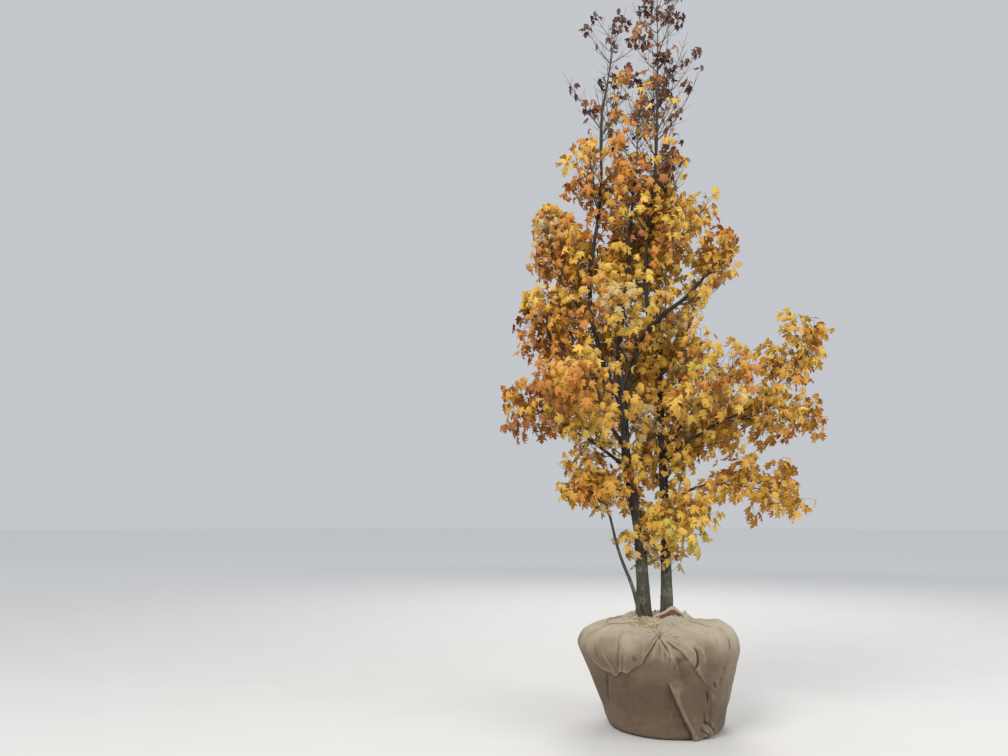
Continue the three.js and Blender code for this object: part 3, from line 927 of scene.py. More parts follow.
@dataclass(frozen=True)
class TwigFinish:
    """The smooth skin of twigs, leaf stalks and twine, which leans from one colour to another.

    Attributes:
        colour: The one colour.
        second: The other.
        grain: The noise of its relief.
    """

    colour: Colour
    second: Colour
    grain: Grain = Grain((1, 1, 0.2), 500.0, 1.0)

    def material(self, name: str) -> Material:
        """Makes the material.

        Args:
            name: Its name.

        Returns:
            The material.
        """
        paint = Paint(name, self.colour, 0.6)
        colour = paint.mix(paint.step(paint.noise(paint.place(), 9.0), 0.4, 0.6), self.colour, self.second)
        return paint.finish(colour, paint.grain(self.grain), 0.0006)


@dataclass(frozen=True)
class ClothFinish:
    """Burlap. Its note holds the way round and up the cloth in metres, and how deep in a fold it lies.

    It is paler where it lies high and towards the right, as painted light, and paler on crests and along the
    flap's hem, as painted highlight. It is darker low down and in the folds, partly soil and partly painted
    shade, and darker in stains and where the threads dip. The pitch is from one thread to the next, slubs and
    bars are thick threads that run up and round, and wander is how far threads stray, as a turn, and the
    scale of that.
    """

    colour: Colour = (0.235, 0.165, 0.104)
    # Pale threads, and the colour of painted light on the top and the right, and of painted highlight on
    # crests and the hem.
    pale_and_lit: Colour = (0.45, 0.388, 0.278)
    # Soil, and the colour of painted shade low down and in the folds.
    soil_and_shade: Colour = (0.074, 0.043, 0.026)
    pitch: float = 0.0034
    slubs: Grain = Grain((1, 0.05, 0), 260.0, 2.0)
    bars: Grain = Grain((0.05, 1, 0), 260.0, 2.0)
    stains: float = 3.2
    wander: Pair = (2.2, 60.0)

    def weave(self, paint: Paint, place: Socket) -> Socket:
        """The relief of the plain weave.

        Args:
            paint: The material in the making.
            place: The place on the object.

        Returns:
            How high the threads lie at each place, from 0 to 1.
        """
        stray = paint.times(paint.noise(place, self.wander[1], 2.0), self.wander[0])
        turns = [paint.plus(paint.times(way, math.pi / self.pitch), stray) for way in (paint.x, paint.y)]
        warp, weft = (paint.size(paint.maths("SINE", turn)) for turn in turns)
        swap = paint.times(*(paint.maths("COSINE", turn) for turn in turns))
        over = paint.times(warp, paint.maths("MULTIPLY_ADD", swap, 0.35, 0.65))
        under = paint.times(weft, paint.maths("MULTIPLY_ADD", swap, -0.35, 0.65))
        return paint.maths("MAXIMUM", over, under)

    def material(self, name: str) -> Material:
        """Makes the material.

        Args:
            name: Its name.

        Returns:
            The material.
        """
        paint = Paint(name, self.colour, 0.92)
        paint.set("Specular IOR Level", 0.15)
        paint.set("Sheen Weight", 0.06)
        paint.set("Sheen Roughness", 0.6)
        place = paint.place()
        across, _, level = paint.parts(place)
        weave = self.weave(paint, place)
        slubs, bars = paint.grain(self.slubs), paint.grain(self.bars)
        stains = paint.noise(place, self.stains, 4.0)
        lift = paint.plus(level, paint.maths("MULTIPLY_ADD", stains, 0.5, -0.25))
        # Paler high up: painted light from above.
        colour = paint.mix(paint.step(lift, 0.53, 0.75), self.colour, self.pale_and_lit)
        # Darker low down, partly soil and partly painted shade, a little less so at the very foot.
        low, foot = paint.step(lift, 0.56, 0.34, (0.0, 0.52)), paint.step(lift, 0.04, 0.26, (0.45, 1.0))
        colour = paint.mix(paint.times(low, foot), colour, self.soil_and_shade)
        for value, low, high, most, other in (
            # Paler towards the right: painted light on that side.
            (across, 0.24, 0.5, 0.3, self.pale_and_lit),
            # Darker in the folds, partly soil and partly painted shade.
            (paint.z, 0.05, 0.9, 0.8, self.soil_and_shade),
            # Paler on crests and along the flap's hem: painted highlight.
            (paint.z, -0.15, -0.9, 0.42, self.pale_and_lit),
            (stains, 0.54, 0.72, 0.45, self.soil_and_shade),
            (slubs, 0.54, 0.72, 0.14, self.pale_and_lit),
            (bars, 0.54, 0.72, 0.1, self.pale_and_lit),
            (weave, 0.45, 0.15, 0.5, self.soil_and_shade),
        ):
            colour = paint.wash(colour, value, low, high, most, other)
        return paint.finish(colour, paint.plus(weave, paint.times(slubs, 0.5)), 0.0016)


# The stems, leaders and boughs


@dataclass
class Wood:
    """The limbs, as fine meshes that carry the bark's relief.

    Side count and scar spacing are the least and the most. A limb wanders off its route over the length of a
    cell. The collar is how much wider a bough starts than it is, and a stem's foot is sunk into the ball.
    """

    limbs: dict[str, Limb]
    ring_spacing: float = 0.01
    side_width: float = 0.007
    side_count: tuple[int, int] = (14, 46)
    ridge: float = 0.0022
    wander: float = 0.006
    wander_cell: float = 0.22
    scar_width: float = 0.009
    scar_spacing: Pair = (0.12, 0.3)
    collar: float = 0.5
    sunk: float = 0.012

    def ring_count(self, limb: Limb) -> int:
        """How many rings a limb's mesh has."""
        return max(8, int(limb.length / self.ring_spacing))

    def curve(self, limb: Limb, count: int) -> Array:
        """A limb's rounded route, wandering a little between its ends.

        Args:
            limb: The limb.
            count: How many points the curve gets.

        Returns:
            The points, one to a row.
        """
        share = np.linspace(0, 1, count)
        place = np.stack([share * limb.length, np.zeros(count), np.zeros(count)], -1)
        shifted = (place + n * 7.3 for n in range(3))
        drift = np.stack([lattice_noise(spot, self.wander_cell, limb.seed()) for spot in shifted], -1)
        loose = np.sin(share * math.pi)[:, None]
        return smooth_path(limb.points, count) + drift * self.wander * loose * np.array([1, 1, 0.2])

    def path_of(self, limb: Limb) -> list[Vector]:
        """The same curve, as the points that what grows on the limb starts from."""
        return [Vector(point) for point in self.curve(limb, self.ring_count(limb))]

    def scars(self, limb: Limb, far: Array) -> Array:
        """The scars of old leaves, which go round the limb as slight rings.

        Args:
            limb: The limb.
            far: How far along it each ring of its mesh lies.

        Returns:
            How strong the scars are at each ring, about 1 at the most.
        """
        draw = Draws(limb.seed())
        scars = np.zeros_like(far)
        at = 0.15
        while at < limb.length:
            scars += np.exp(-(((far - at) / self.scar_width) ** 2)) * draw.between(0.3, 1)
            at += draw.between(*self.scar_spacing)
        return scars

    def relief(self, limb: Limb, radius: Array, far: Array, sides: int) -> Array:
        """The radius all round each ring, with the bark's ridges and lumps and the scars.

        Args:
            limb: The limb.
            radius: Its plain radius at each ring.
            far: How far along it each ring lies.
            sides: How many points a ring has.

        Returns:
            The radii, a ring to a row.
        """
        seed = limb.seed()
        place = rolled_out(np.maximum(radius, 0.012), far, sides)
        coarse = 1 - np.abs(lattice_noise(place, (0.011, 0.011, 0.1), seed)) * 2
        fine = lattice_noise(place, (0.006, 0.006, 0.03), seed + 1)
        lumps = lattice_noise(place, (0.05, 0.05, 0.16), seed + 2)
        height = np.minimum(self.ridge, radius * 0.05)[:, None]
        plain = radius[:, None] * (1 + 0.035 * lumps + 0.05 * self.scars(limb, far)[:, None])
        return plain + height * (coarse + 0.5 * fine)

    def draft(self, limb: Limb) -> Draft:
        """One limb's mesh.

        Args:
            limb: The limb.

        Returns:
            The draft.
        """
        count = self.ring_count(limb)
        share = np.linspace(0, 1, count)
        far, radius = share * limb.length, limb.radius_at(share)
        path = self.curve(limb, count)
        if limb.on:
            outside = np.maximum(far - self.limbs[limb.on].radius_at(limb.at) * 0.9, 0)
            radius = radius * (1 + self.collar * np.exp(-outside / (2.2 * limb.radius[0])))
        else:
            path[0, 2] -= self.sunk
        sides = int(np.clip(math.tau * radius[0] / self.side_width, *self.side_count))
        vertices, faces = tubes(path[None], self.relief(limb, radius, far, sides)[None], sides)
        return Draft().add(vertices, faces, rolled_out(radius, far, sides).reshape(-1, 3))

    def build(self) -> None:
        """Makes each limb and puts it in its node's place."""
        bark = BarkFinish().material("bark")
        for limb in self.limbs.values():
            self.draft(limb).build(f"bark_{limb.name}", bark, "bark", [limb.name])


# The foliage


@dataclass(frozen=True)
class TintPatch:
    """A place in the crown where a tint has a share: its middle and its reach, sideways and up."""

    tint: Tint
    middle: Pair
    reach: Pair
    share: float


BASE_TINTS = {Tint.YELLOW: 0.38, Tint.GOLD: 0.42, Tint.AMBER: 0.09, Tint.TAN: 0.09, Tint.RUST: 0.02}
TINT_PATCHES = tuple(TintPatch(*row) for row in (
    (Tint.AMBER, (-0.88, 2.95), (0.45, 0.66), 0.72),
    (Tint.RUST, (-0.95, 3.1), (0.34, 0.44), 0.22),
    (Tint.AMBER, (-0.7, 3.95), (0.45, 0.65), 0.45),
    (Tint.RUST, (-0.8, 2.2), (0.18, 0.24), 0.55),
    (Tint.RUST, (0.15, 1.8), (0.28, 0.26), 0.28),
    (Tint.TAN, (-0.12, 2.25), (0.28, 0.3), 0.3),
    (Tint.TAN, (-0.1, 1.62), (0.3, 0.2), 0.22),
    (Tint.YELLOW, (0.05, 1.22), (0.6, 0.38), 0.45),
    (Tint.TAN, (0.05, 1.22), (0.6, 0.34), 0.22),
    (Tint.GOLD, (0.75, 2.35), (0.6, 0.5), 0.3),
    (Tint.GOLD, (0.95, 1.8), (0.4, 0.34), 0.55),
    (Tint.YELLOW, (0.3, 3.3), (0.45, 0.55), 0.3),
    (Tint.OLIVE, (0.2, 1.4), (0.14, 0.16), 0.3),
    (Tint.OLIVE, (0.37, 2.57), (0.12, 0.1), 0.2),
    (Tint.AMBER, (0.0, 4.6), (1.2, 0.55), 0.34),
    (Tint.RUST, (0.0, 4.85), (1.4, 0.34), 0.22),
    (Tint.RUST, (0.0, 5.55), (1.4, 0.85), 0.86),
    (Tint.UMBER, (0.0, 6.1), (2.4, 1.12), 0.9),
    (Tint.MAROON, (-0.5, 5.8), (0.6, 0.8), 0.26),
))


def deal_tint(place: Vector, draw: Draws) -> Tint:
    """The tint of a spray.

    Args:
        place: Where the spray is.
        draw: Deals the tints that share the place.

    Returns:
        The tint.
    """
    shares = dict.fromkeys(Tint, 0.0) | BASE_TINTS
    for patch in TINT_PATCHES:
        across, up = ((place[i] - m) / r for i, m, r in zip((0, 2), patch.middle, patch.reach))
        weight = patch.share * math.exp(-((across**2 + up**2) ** 2))
        shares = {tint: share * (1 - weight) for tint, share in shares.items()}
        shares[patch.tint] += weight
    left = draw.next() * sum(shares.values())
    for tint, share in shares.items():
        left -= share
        if left < 0:
            return tint
    return Tint.GOLD


@dataclass(frozen=True)
class LeafShape:
    """A maple leaf of five lobes, in its own measure: its stalk joins at 0, and its tip is at 1 along.

    The ribs part at the hub. Ribs and edge run on the right, from the tip round to the base, and a span is
    the first and the last point of the edge that a lobe has.
    """

    hub: Pair = (0.0, 0.1)
    ribs: tuple[Pair, ...] = ((0.0, 0.56), (0.33, 0.33), (0.24, 0.03))
    edge: tuple[Pair, ...] = (
        (0.0, 1.0), (0.1, 0.8), (0.27, 0.69), (0.155, 0.53), (0.2, 0.46), (0.42, 0.53), (0.62, 0.55),
        (0.5, 0.37), (0.32, 0.22), (0.46, 0.08), (0.26, -0.04), (0.1, -0.08), (0.0, -0.01),
    )
    spans: tuple[tuple[int, int], ...] = ((0, 4), (4, 8), (8, 12))

    def arrays(self) -> tuple[Array, Array]:
        """The leaf laid flat.

        Returns:
            Its points, and its triangles, each anticlockwise as seen from above.
        """
        points = [self.hub, *self.ribs, *self.edge]
        start = 1 + len(self.ribs)
        triangles = []
        for rib, (first, last) in enumerate(self.spans, 1):
            corners = [start + i for i in range(first, last + 1)]
            triangles += [(rib, b, a) for a, b in pairwise(corners)]
            triangles.append((0, rib, corners[0]) if rib > 1 else (0, corners[-1], rib))
            if rib > 1:
                triangles.append((0, corners[-1], rib))
        count = len(points)
        mirrored = {i: i for i in (0, 1, start, count - 1)}
        for i, (x, y) in enumerate(points[:count]):
            if i not in mirrored:
                mirrored[i] = len(points)
                points.append((-x, y))
        triangles += [(mirrored[a], mirrored[c], mirrored[b]) for a, b, c in triangles]
        return np.array(points), np.array(triangles)


@dataclass
class Leaves:
    """The leaves of one tint, gathered one by one and made together.

    A row holds a leaf's base, way, normal, size, fold, bend, cup and a number of its own.
    """

    rows: list[tuple[float, ...]] = field(default_factory=list)

    def add(self, base: Vector, way: Vector, normal: Vector, size: float, draw: Draws, limp: float) -> None:
        """Adds a leaf.

        Args:
            base: Where its stalk joins.
            way: The unit vector from there to its tip.
            normal: The unit vector of its upper side, square to the way.
            size: Its length.
            draw: Gives its own fold and curl.
            limp: How much it folds and curls, about 1.
        """
        fold = draw.between(0.12, 0.95) * limp
        bend = draw.between(0.15, 1.4) * limp
        cup = draw.between(-0.1, 0.45) * limp
        self.rows.append((*base, *way, *normal, size, fold, bend, cup, draw.next()))

    def draft(self, shape: LeafShape) -> Draft:
        """All leaves as one mesh: folded along the middle, then bent along their length, then put in place.

        Args:
            shape: The leaf laid flat.

        Returns:
            The draft.
        """
        flat, triangles = shape.arrays()
        rows = np.array(self.rows)
        base, way, normal = rows[:, 0:3], rows[:, 3:6], rows[:, 6:9]
        size, fold, bend, cup, own = (rows[:, 9 + i, None] for i in range(5))
        x, y = flat[None, :, 0], flat[None, :, 1]
        far = x**2 + (y - shape.hub[1]) ** 2
        ripple = 0.035 * np.sin(9 * x + 23 * own) * np.sin(7 * y + 31 * own)
        rise = -cup * far + ripple * np.sqrt(far) * 2 - np.abs(x) * np.sin(fold)
        x = x * np.cos(fold)
        turn = bend * y
        forward = np.sin(turn) / bend + rise * np.sin(turn)
        upward = -(1 - np.cos(turn)) / bend + rise * np.cos(turn)
        axes = [(x * size, np.cross(way, normal)), (forward * size, way), (upward * size, normal)]
        vertices = base[:, None] + sum(amount[..., None] * axis[:, None] for amount, axis in axes)
        faces = triangles[None] + (np.arange(len(rows)) * len(flat))[:, None, None]
        note = np.stack(np.broadcast_arrays(flat[None, :, 0], flat[None, :, 1], own), -1)
        return Draft().add(vertices.reshape(-1, 3), [faces.reshape(-1, 3)], note.reshape(-1, 3))


@dataclass
class Crown:
    """The room that all the foliage shares: every mass's space, a little widened, within the part's reach.

    There is room in a sleeve round each limb too, with a share of it at each of a few levels. The reaches to
    the left and right are heights and places sideways, and an opening, where sky shows through, is a middle
    and half a size, sideways and up.
    """

    masses: list[Mass]
    paths: list[list[Vector]]
    widening: float = 1.22
    edge: float = 0.03
    sleeve: float = 0.24
    sleeve_levels: tuple[float, ...] = (0, FULL_SHOOTS, FULL_SHOOTS + 0.01, TOP_LEVEL, TOP_LEVEL + 0.6)
    sleeve_shares: tuple[float, ...] = (0.75, 0.75, 1, 1, 1.9)
    left_reach: tuple[Pair, ...] = (
        (2.4, -1.25), (3.0, -1.18), (3.3, -1.05), (3.6, -0.94), (4.6, -0.9), (5.2, -0.76), (6.2, -0.6),
    )
    right_reach: tuple[Pair, ...] = (
        (3.35, 1.5), (3.5, 0.7), (3.7, 0.8), (3.9, 0.76), (4.1, 0.6), (4.4, 0.48), (5.0, 0.48),
        (5.4, 0.56), (6.2, 0.5),
    )
    openings: tuple[tuple[Pair, Pair], ...] = (((0.72, 3.14), (0.25, 0.27)),)
    step: float = 0.05

    def __post_init__(self) -> None:
        """Gathers the spaces as arrays."""
        self.centres = np.array([tuple(mass.centre) for mass in self.masses])
        self.axes = np.array([tuple(mass.axis) for mass in self.masses])
        self.reaches = np.array([mass.reach for mass in self.masses]) * self.widening
        self.girths = np.array([mass.girth for mass in self.masses]) * self.widening
        self.low, self.high = np.array(cad_box[0]) + self.edge, np.array(cad_box[1]) - self.edge
        grown = [point for path in self.paths for point in path[::8] if point.z > FIRST_SHOOT]
        self.near = np.array([tuple(point) for point in grown])
        self.sleeves = self.sleeve * np.interp(self.near[:, 2], self.sleeve_levels, self.sleeve_shares)

    def holds(self, point: Vector) -> bool:
        """Whether the crown has room at a point.

        Args:
            point: The point.

        Returns:
            True if it lies in the crown.
        """
        place = np.array(point)
        if np.any(place < self.low) or np.any(place > self.high):
            return False
        left, right = (np.interp(point.z, *zip(*reach)) for reach in (self.left_reach, self.right_reach))
        if not left < point.x < right:
            return False
        for middle, half in self.openings:
            if ((point.x - middle[0]) / half[0]) ** 2 + ((point.z - middle[1]) / half[1]) ** 2 < 1:
                return False
        off = place - self.centres
        lengthwise = np.sum(off * self.axes, axis=1)
        across = np.sum(off * off, axis=1) - lengthwise**2
        if np.min((lengthwise / self.reaches) ** 2 + across / self.girths**2) < 1:
            return True
        return bool(np.any(np.sum((self.near - place) ** 2, axis=1) < self.sleeves**2))

    def room_along(self, point: Vector, direction: Vector, most: float) -> float:
        """How far a point can move before it leaves the crown.

        Args:
            point: Where it starts.
            direction: The unit vector of its way.
            most: The distance past which it no longer matters.

        Returns:
            The distance.
        """
        room = 0.0
        while room < most and self.holds(point + direction * (room + self.step)):
            room += self.step
        return room


@dataclass(frozen=True)
class Habit:
    """How sprays carry their finer twigs and leaves, where a pair of sizes is the least and the most.

    Fullness is the share of a leafy twig's leaves that hang, bare that of fine twigs with none, and capped
    that of sprays with a tuft of leaves at the tip. Lift is how much a spray turns up, and carry is its
    length as a share of the source's side twig.
    """

    twig_spacing: float = 0.094
    twig_length: Pair = (0.06, 0.18)
    leaf_spacing: float = 0.05
    leaf_size: Pair = (0.057, 0.095)
    fullness: float = 0.72
    bare: float = 0.12
    capped: float = 0.88
    tuft: int = 1
    lift: Pair = (0.1, 0.6)
    carry: Pair = (0.7, 1.3)


LOWER = Habit()
UPPER = Habit(twig_spacing=0.11, twig_length=(0.05, 0.15), leaf_size=(0.052, 0.082), fullness=0.62, bare=0.82,
              capped=0.52, tuft=3, lift=(0.3, 0.8), carry=(0.95, 1.6))


@dataclass
class Foliage:
    """All the foliage: stems, sprays, fine twigs, leaf stalks and leaves.

    The clear limbs show through the leaves from the front: a share has fallen there, within a width over the
    distance from the eye. Shoots are spaced by the least and the most, and their length is that near a limb's
    foot and its tip. Between the thinning heights more fine twigs are bare. Ragged and patchy are how much
    the top level and the share of leaves change, and over what length. The crown turns denser between the low
    heights and the places on the left, and the part in front of the stems is thin.
    """

    masses: list[Mass]
    wood: Wood
    clear_limbs: tuple[str, ...] = (
        "stem_left", "leader_left", "leader_main", "bough_right_high", "bough_left_low",
    )
    clear_from: float = 2.1
    clear: float = 0.0105
    clear_share: float = 0.72
    shoot_spacing: Pair = (0.1, 0.2)
    shoot_length: Pair = (0.52, 0.4)
    short_shoots: float = 0.45
    thinning: Pair = (3.95, 4.55)
    thinned: float = 0.6
    ragged: Pair = (0.45, 0.25)
    patchy: Pair = (0.34, 0.36)
    denser: float = 0.16
    low: Pair = (2.2, 1.8)
    left: Pair = (-0.45, -0.65)
    thin_middle: Pair = (-0.1, 3.3)
    thin_reach: Pair = (0.6, 1.25)
    thin: float = 0.4

    STEM_POINTS = 25
    TWIG_POINTS = 9
    FINE_POINTS = 5
    SHORTEST_FINE = 0.02
    SHORTEST_TWIG = 0.08
    SEEDS = {"spray": 5000, "stem": 9000}

    def __post_init__(self) -> None:
        """Works out the crown's room, and where the limbs that show lie as seen from the front."""
        self.paths = {limb.name: self.wood.path_of(limb) for limb in self.wood.limbs.values()}
        self.crown = Crown(self.masses, list(self.paths.values()))
        shown = [p for name in self.clear_limbs for p in self.paths[name][::3] if p.z > self.clear_from]
        ahead = np.array([tuple(p - FRONT_EYE) for p in shown])
        self.limb_spots, self.limb_depths = ahead[:, [0, 2]] / ahead[:, 1:2], ahead[:, 1]
        self.stems: list[Tube] = []
        self.twigs: list[Tube] = []
        self.fine: list[Tube] = []
        self.stalks: list[Tube] = []
        self.leaves = {tint: Leaves() for tint in Tint}
        self.tally: dict[str, dict[Tint, int]] = {}
        self.owner = ""

    def habit_at(self, place: Vector) -> Habit:
        """The habit at a place: sparse and small above the top level, which is ragged."""
        rise = self.ragged[0] * float(lattice_noise(np.array(place), self.ragged[1], 32))
        return UPPER if place.z + rise > TOP_LEVEL else LOWER

    def fullness(self, place: Vector, habit: Habit) -> float:
        """The share of leaves that hang at a place, which is low in front of the stems.

        Args:
            place: The place.
            habit: The habit there.

        Returns:
            The share.
        """
        full = habit.fullness + self.patchy[0] * float(lattice_noise(np.array(place), self.patchy[1], 31))
        low, left = (eased(*ends, np.array(v)) for ends, v in ((self.low, place.z), (self.left, place.x)))
        full += self.denser * float(max(low, left))
        across, up = ((place[i] - m) / r for i, m, r in zip((0, 2), self.thin_middle, self.thin_reach))
        off = across**2 + up**2
        return full * (1 - self.thin * math.exp(-(off**2))) if place.y < -0.04 else full

    def hides_limb(self, place: Vector) -> bool:
        """Whether a leaf hangs just in front of a limb, as seen from the front.

        Args:
            place: The middle of the leaf.

        Returns:
            True if it does.
        """
        ahead = place - FRONT_EYE
        spot = np.array((ahead.x, ahead.z)) / ahead.y
        near = np.sum((self.limb_spots - spot) ** 2, axis=1) < self.clear**2
        return bool(np.any(near & (self.limb_depths > ahead.y - 0.02)))

    def curve(
        self, start: Vector, way: Vector, length: float, lift: float, side: Vector, count: int
    ) -> list[Vector]:
        """A twig's points, which turn up and a little to a side towards the tip."""
        shares = [i / (count - 1) for i in range(count)]
        return [start + way * (length * t) + (UP * lift + side) * (length * t * t) for t in shares]

    def hang_leaf(self, node: Vector, outward: Vector, tint: Tint, draw: Draws) -> None:
        """Hangs one leaf on its stalk, if the crown has room for it.

        Args:
            node: Where its stalk leaves the twig.
            outward: The unit vector of the stalk.
            tint: The leaf's tint.
            draw: Gives its size and lie.
        """
        size = draw.between(*self.habit_at(node).leaf_size)
        length = size * draw.between(0.4, 0.8)
        base = node + outward * length - UP * (length * 0.22)
        away = Vector((base.x, base.y, 0)).normalized()
        jitter = Vector((draw.around(0.8), draw.around(0.8), draw.around(0.4)))
        way = (outward * draw.between(0.2, 0.75) - UP * draw.between(0.35, 1.15) + jitter).normalized()
        if not self.crown.holds(base + way * size):
            way = (outward * 0.12 - UP).normalized()
            if not self.crown.holds(base + way * size):
                return
        if draw.next() < self.clear_share and self.hides_limb(base + way * (size * 0.5)):
            return
        facing = away + UP * draw.between(0.1, 1.0)
        facing += Vector((draw.around(2.0), draw.around(2.0), draw.around(0.8)))
        normal = (facing - way * facing.dot(way)).normalized()
        self.stalks.append(([node, base + way * (size * 0.04)], (0.0011, 0.0009)))
        self.leaves[tint].add(base, way, normal, size, draw, draw.between(0.6, 1.3))
        counts = self.tally.setdefault(self.owner, {})
        counts[tint] = counts.get(tint, 0) + 1

    def leaf_pair(self, node: Vector, way: Vector, turn: float, tint: Tint, full: float, draw: Draws) -> None:
        """Hangs the leaves of a node, opposite each other, less those that have fallen.

        Args:
            node: The place on the twig.
            way: The unit vector of the twig there.
            turn: The turn of the first leaf round the twig, in radians.
            tint: The leaves' tint.
            full: The share of leaves that hang.
            draw: Gives their lie.
        """
        u, v = square_to(way)
        for side in (0, math.pi):
            angle = turn + side + draw.around(0.5)
            outward = way * draw.between(0.3, 0.8) + u * math.cos(angle) + v * math.sin(angle) + UP * 0.15
            if draw.next() < full:
                self.hang_leaf(node, outward.normalized(), tint, draw)

    def fine_twig(self, start: Vector, way: Vector, length: float, tint: Tint, draw: Draws) -> None:
        """Grows a fine twig with its pairs of leaves.

        Args:
            start: Where it leaves its twig.
            way: The unit vector of its way.
            length: Its length, if the crown has room for that.
            tint: Its leaves' tint.
            draw: Gives its turns, and whether it is bare.
        """
        habit = self.habit_at(start)
        length = min(length, self.crown.room_along(start, way, length))
        if length < self.SHORTEST_FINE:
            return
        side = Vector((draw.around(0.2), draw.around(0.2), 0))
        points = self.curve(start, way, length, 0.2, side, self.FINE_POINTS)
        self.fine.append((points, np.linspace(0.0011 + 0.006 * length, 0.0008, self.FINE_POINTS)))
        thinned = LOWER.bare + self.thinned * float(eased(*self.thinning, np.array(start.z)))
        if draw.next() < max(habit.bare, thinned):
            return
        full = self.fullness(start, habit)
        pairs = max(1, round(length / habit.leaf_spacing))
        turn = draw.next() * math.pi
        for i in range(1, pairs + 1):
            node, direction = place_on(points, (i / pairs) * 0.98)
            self.leaf_pair(node, direction, turn + i * math.pi / 2, tint, full, draw)
        if draw.next() < full:
            self.hang_leaf(points[-1], (points[-1] - points[-2]).normalized(), tint, draw)

    def fitted(self, start: Vector, way: Vector, length: float, habit: Habit, draw: Draws) -> list[Vector]:
        """Fits a spray's length so that its tip stays in the crown.

        Args:
            start: Where it leaves its limb or stem.
            way: The unit vector on which it starts.
            length: Its length, if the crown has room for that.
            habit: The habit there.
            draw: Gives its lift and its bend.

        Returns:
            Its points, or none if no such length is worth growing.
        """
        side = Vector((draw.around(0.3), draw.around(0.3), 0))
        lift = draw.between(*habit.lift)
        while length > self.SHORTEST_TWIG:
            points = self.curve(start, way, length, lift, side, self.TWIG_POINTS)
            if self.crown.holds(points[-1]):
                return points
            length *= 0.85
        return []

    def spray(self, start: Vector, way: Vector, length: float, draw: Draws) -> None:
        """Grows a spray: a twig that carries fine twigs in crossed pairs, and leaves at its tip.

        Args:
            start: Where it leaves its limb or stem.
            way: The unit vector on which it starts.
            length: Its length, if the crown has room for that.
            draw: Gives its turns and its tints.
        """
        habit = self.habit_at(start)
        points = self.fitted(start, way, length, habit, draw)
        if not points:
            return
        length = (points[-1] - points[0]).length
        self.twigs.append((points, np.linspace(0.002 + 0.0065 * length, 0.0012, self.TWIG_POINTS)))
        tint = deal_tint(points[-1], draw)
        short, long = habit.twig_length
        pairs = max(1, round(length / habit.twig_spacing))
        for i in range(pairs):
            share = 0.18 + 0.78 * i / pairs
            node, direction = place_on(points, share)
            u, v = square_to(direction)
            turn = i * math.pi / 2 + draw.around(0.6)
            if draw.next() < 0.3:
                tint = deal_tint(node, draw)
            for half in (0, math.pi):
                outward = u * math.cos(turn + half) + v * math.sin(turn + half)
                heads = (direction * draw.between(0.7, 1.2) + outward + UP * 0.2).normalized()
                fine = short + (long - short) * (1 - share) * draw.between(0.4, 1.4)
                self.fine_twig(node, heads, fine, tint, draw)
        if draw.next() < habit.capped:
            end = (points[-1] - points[-2]).normalized()
            turn = draw.next() * math.pi
            for i in range(habit.tuft):
                self.leaf_pair(points[-1] - end * (0.02 * i), end, turn + 1.6 * i, tint, 1, draw)
            self.hang_leaf(points[-1], end, tint, draw)

    def grow_stem(self, mass: Mass) -> list[Vector]:
        """Grows the stem of a mass, from its limb as far as the crown reaches.

        Args:
            mass: The mass.

        Returns:
            The stem's points.
        """
        limb = self.wood.limbs[mass.on]
        path = smooth_path(mass.points, self.STEM_POINTS)
        share = np.linspace(0, 1, self.STEM_POINTS)
        shift = np.array(place_on(self.paths[mass.on], mass.at)[0]) - path[0]
        whole = [Vector(p) for p in path + shift * ((1 - share) ** 2)[:, None]]
        outside = [i for i, point in enumerate(whole) if i > 4 and not self.crown.holds(point)]
        stem = [Vector(p) for p in smooth_path(whole[: outside[0]] if outside else whole, self.STEM_POINTS)]
        foot = min(float(limb.radius_at(mass.at)) * (0.97 if mass.at == 1 else 0.5), 0.01)
        self.stems.append((stem, foot + (0.0022 - foot) * share**0.8))
        return stem

    def grow_mass(self, mass: Mass) -> None:
        """Grows one mass: its stem, the sprays of the source's side twigs, and fine twigs on the stem.

        Args:
            mass: The mass.
        """
        self.owner = mass.name
        stem = self.grow_stem(mass)
        carry = self.habit_at(mass.centre).carry
        for twig in mass.side_twigs():
            draw = Draws(twig.seed + self.SEEDS["spray"])
            self.spray(place_on(stem, twig.share)[0], twig.way, twig.length * draw.between(*carry), draw)
        draw = Draws(mass.index + self.SEEDS["stem"])
        count = round(mass.length / 0.09)
        for i in range(count):
            node, direction = place_on(stem, 0.12 + 0.88 * i / count)
            u, v = square_to(direction)
            turn = i * 2.4 + draw.around(0.8)
            way = (direction * 0.8 + u * math.cos(turn) + v * math.sin(turn)).normalized()
            self.fine_twig(node, way, draw.between(0.05, 0.14), deal_tint(node, draw), draw)
        self.leaf_pair(stem[-1], direction, 0.0, deal_tint(stem[-1], draw), 1, draw)

    def grow_shoots(self, limb: Limb) -> None:
        """Grows a limb's own shoots, turned on by the golden angle and shorter towards its tip.

        Args:
            limb: The limb.
        """
        self.owner = limb.name
        draw = Draws(limb.seed())
        first = THIN_STEM_SHOOT if limb.name == "stem_small" else FIRST_SHOOT
        turn = draw.next() * math.tau
        far = draw.between(*self.shoot_spacing)
        while far < limb.length:
            share = far / limb.length
            node, direction = place_on(self.paths[limb.name], share)
            u, v = square_to(direction)
            way = direction * draw.between(0.6, 1.4) + u * math.cos(turn) + v * math.sin(turn)
            length = along(self.shoot_length, share) * draw.between(0.6, 1.2)
            length *= self.short_shoots if node.z < FULL_SHOOTS else 1
            if node.z > first:
                self.spray(node, way.normalized(), length, draw)
            far += draw.between(*self.shoot_spacing)
            turn += math.radians(GOLDEN_TURN)

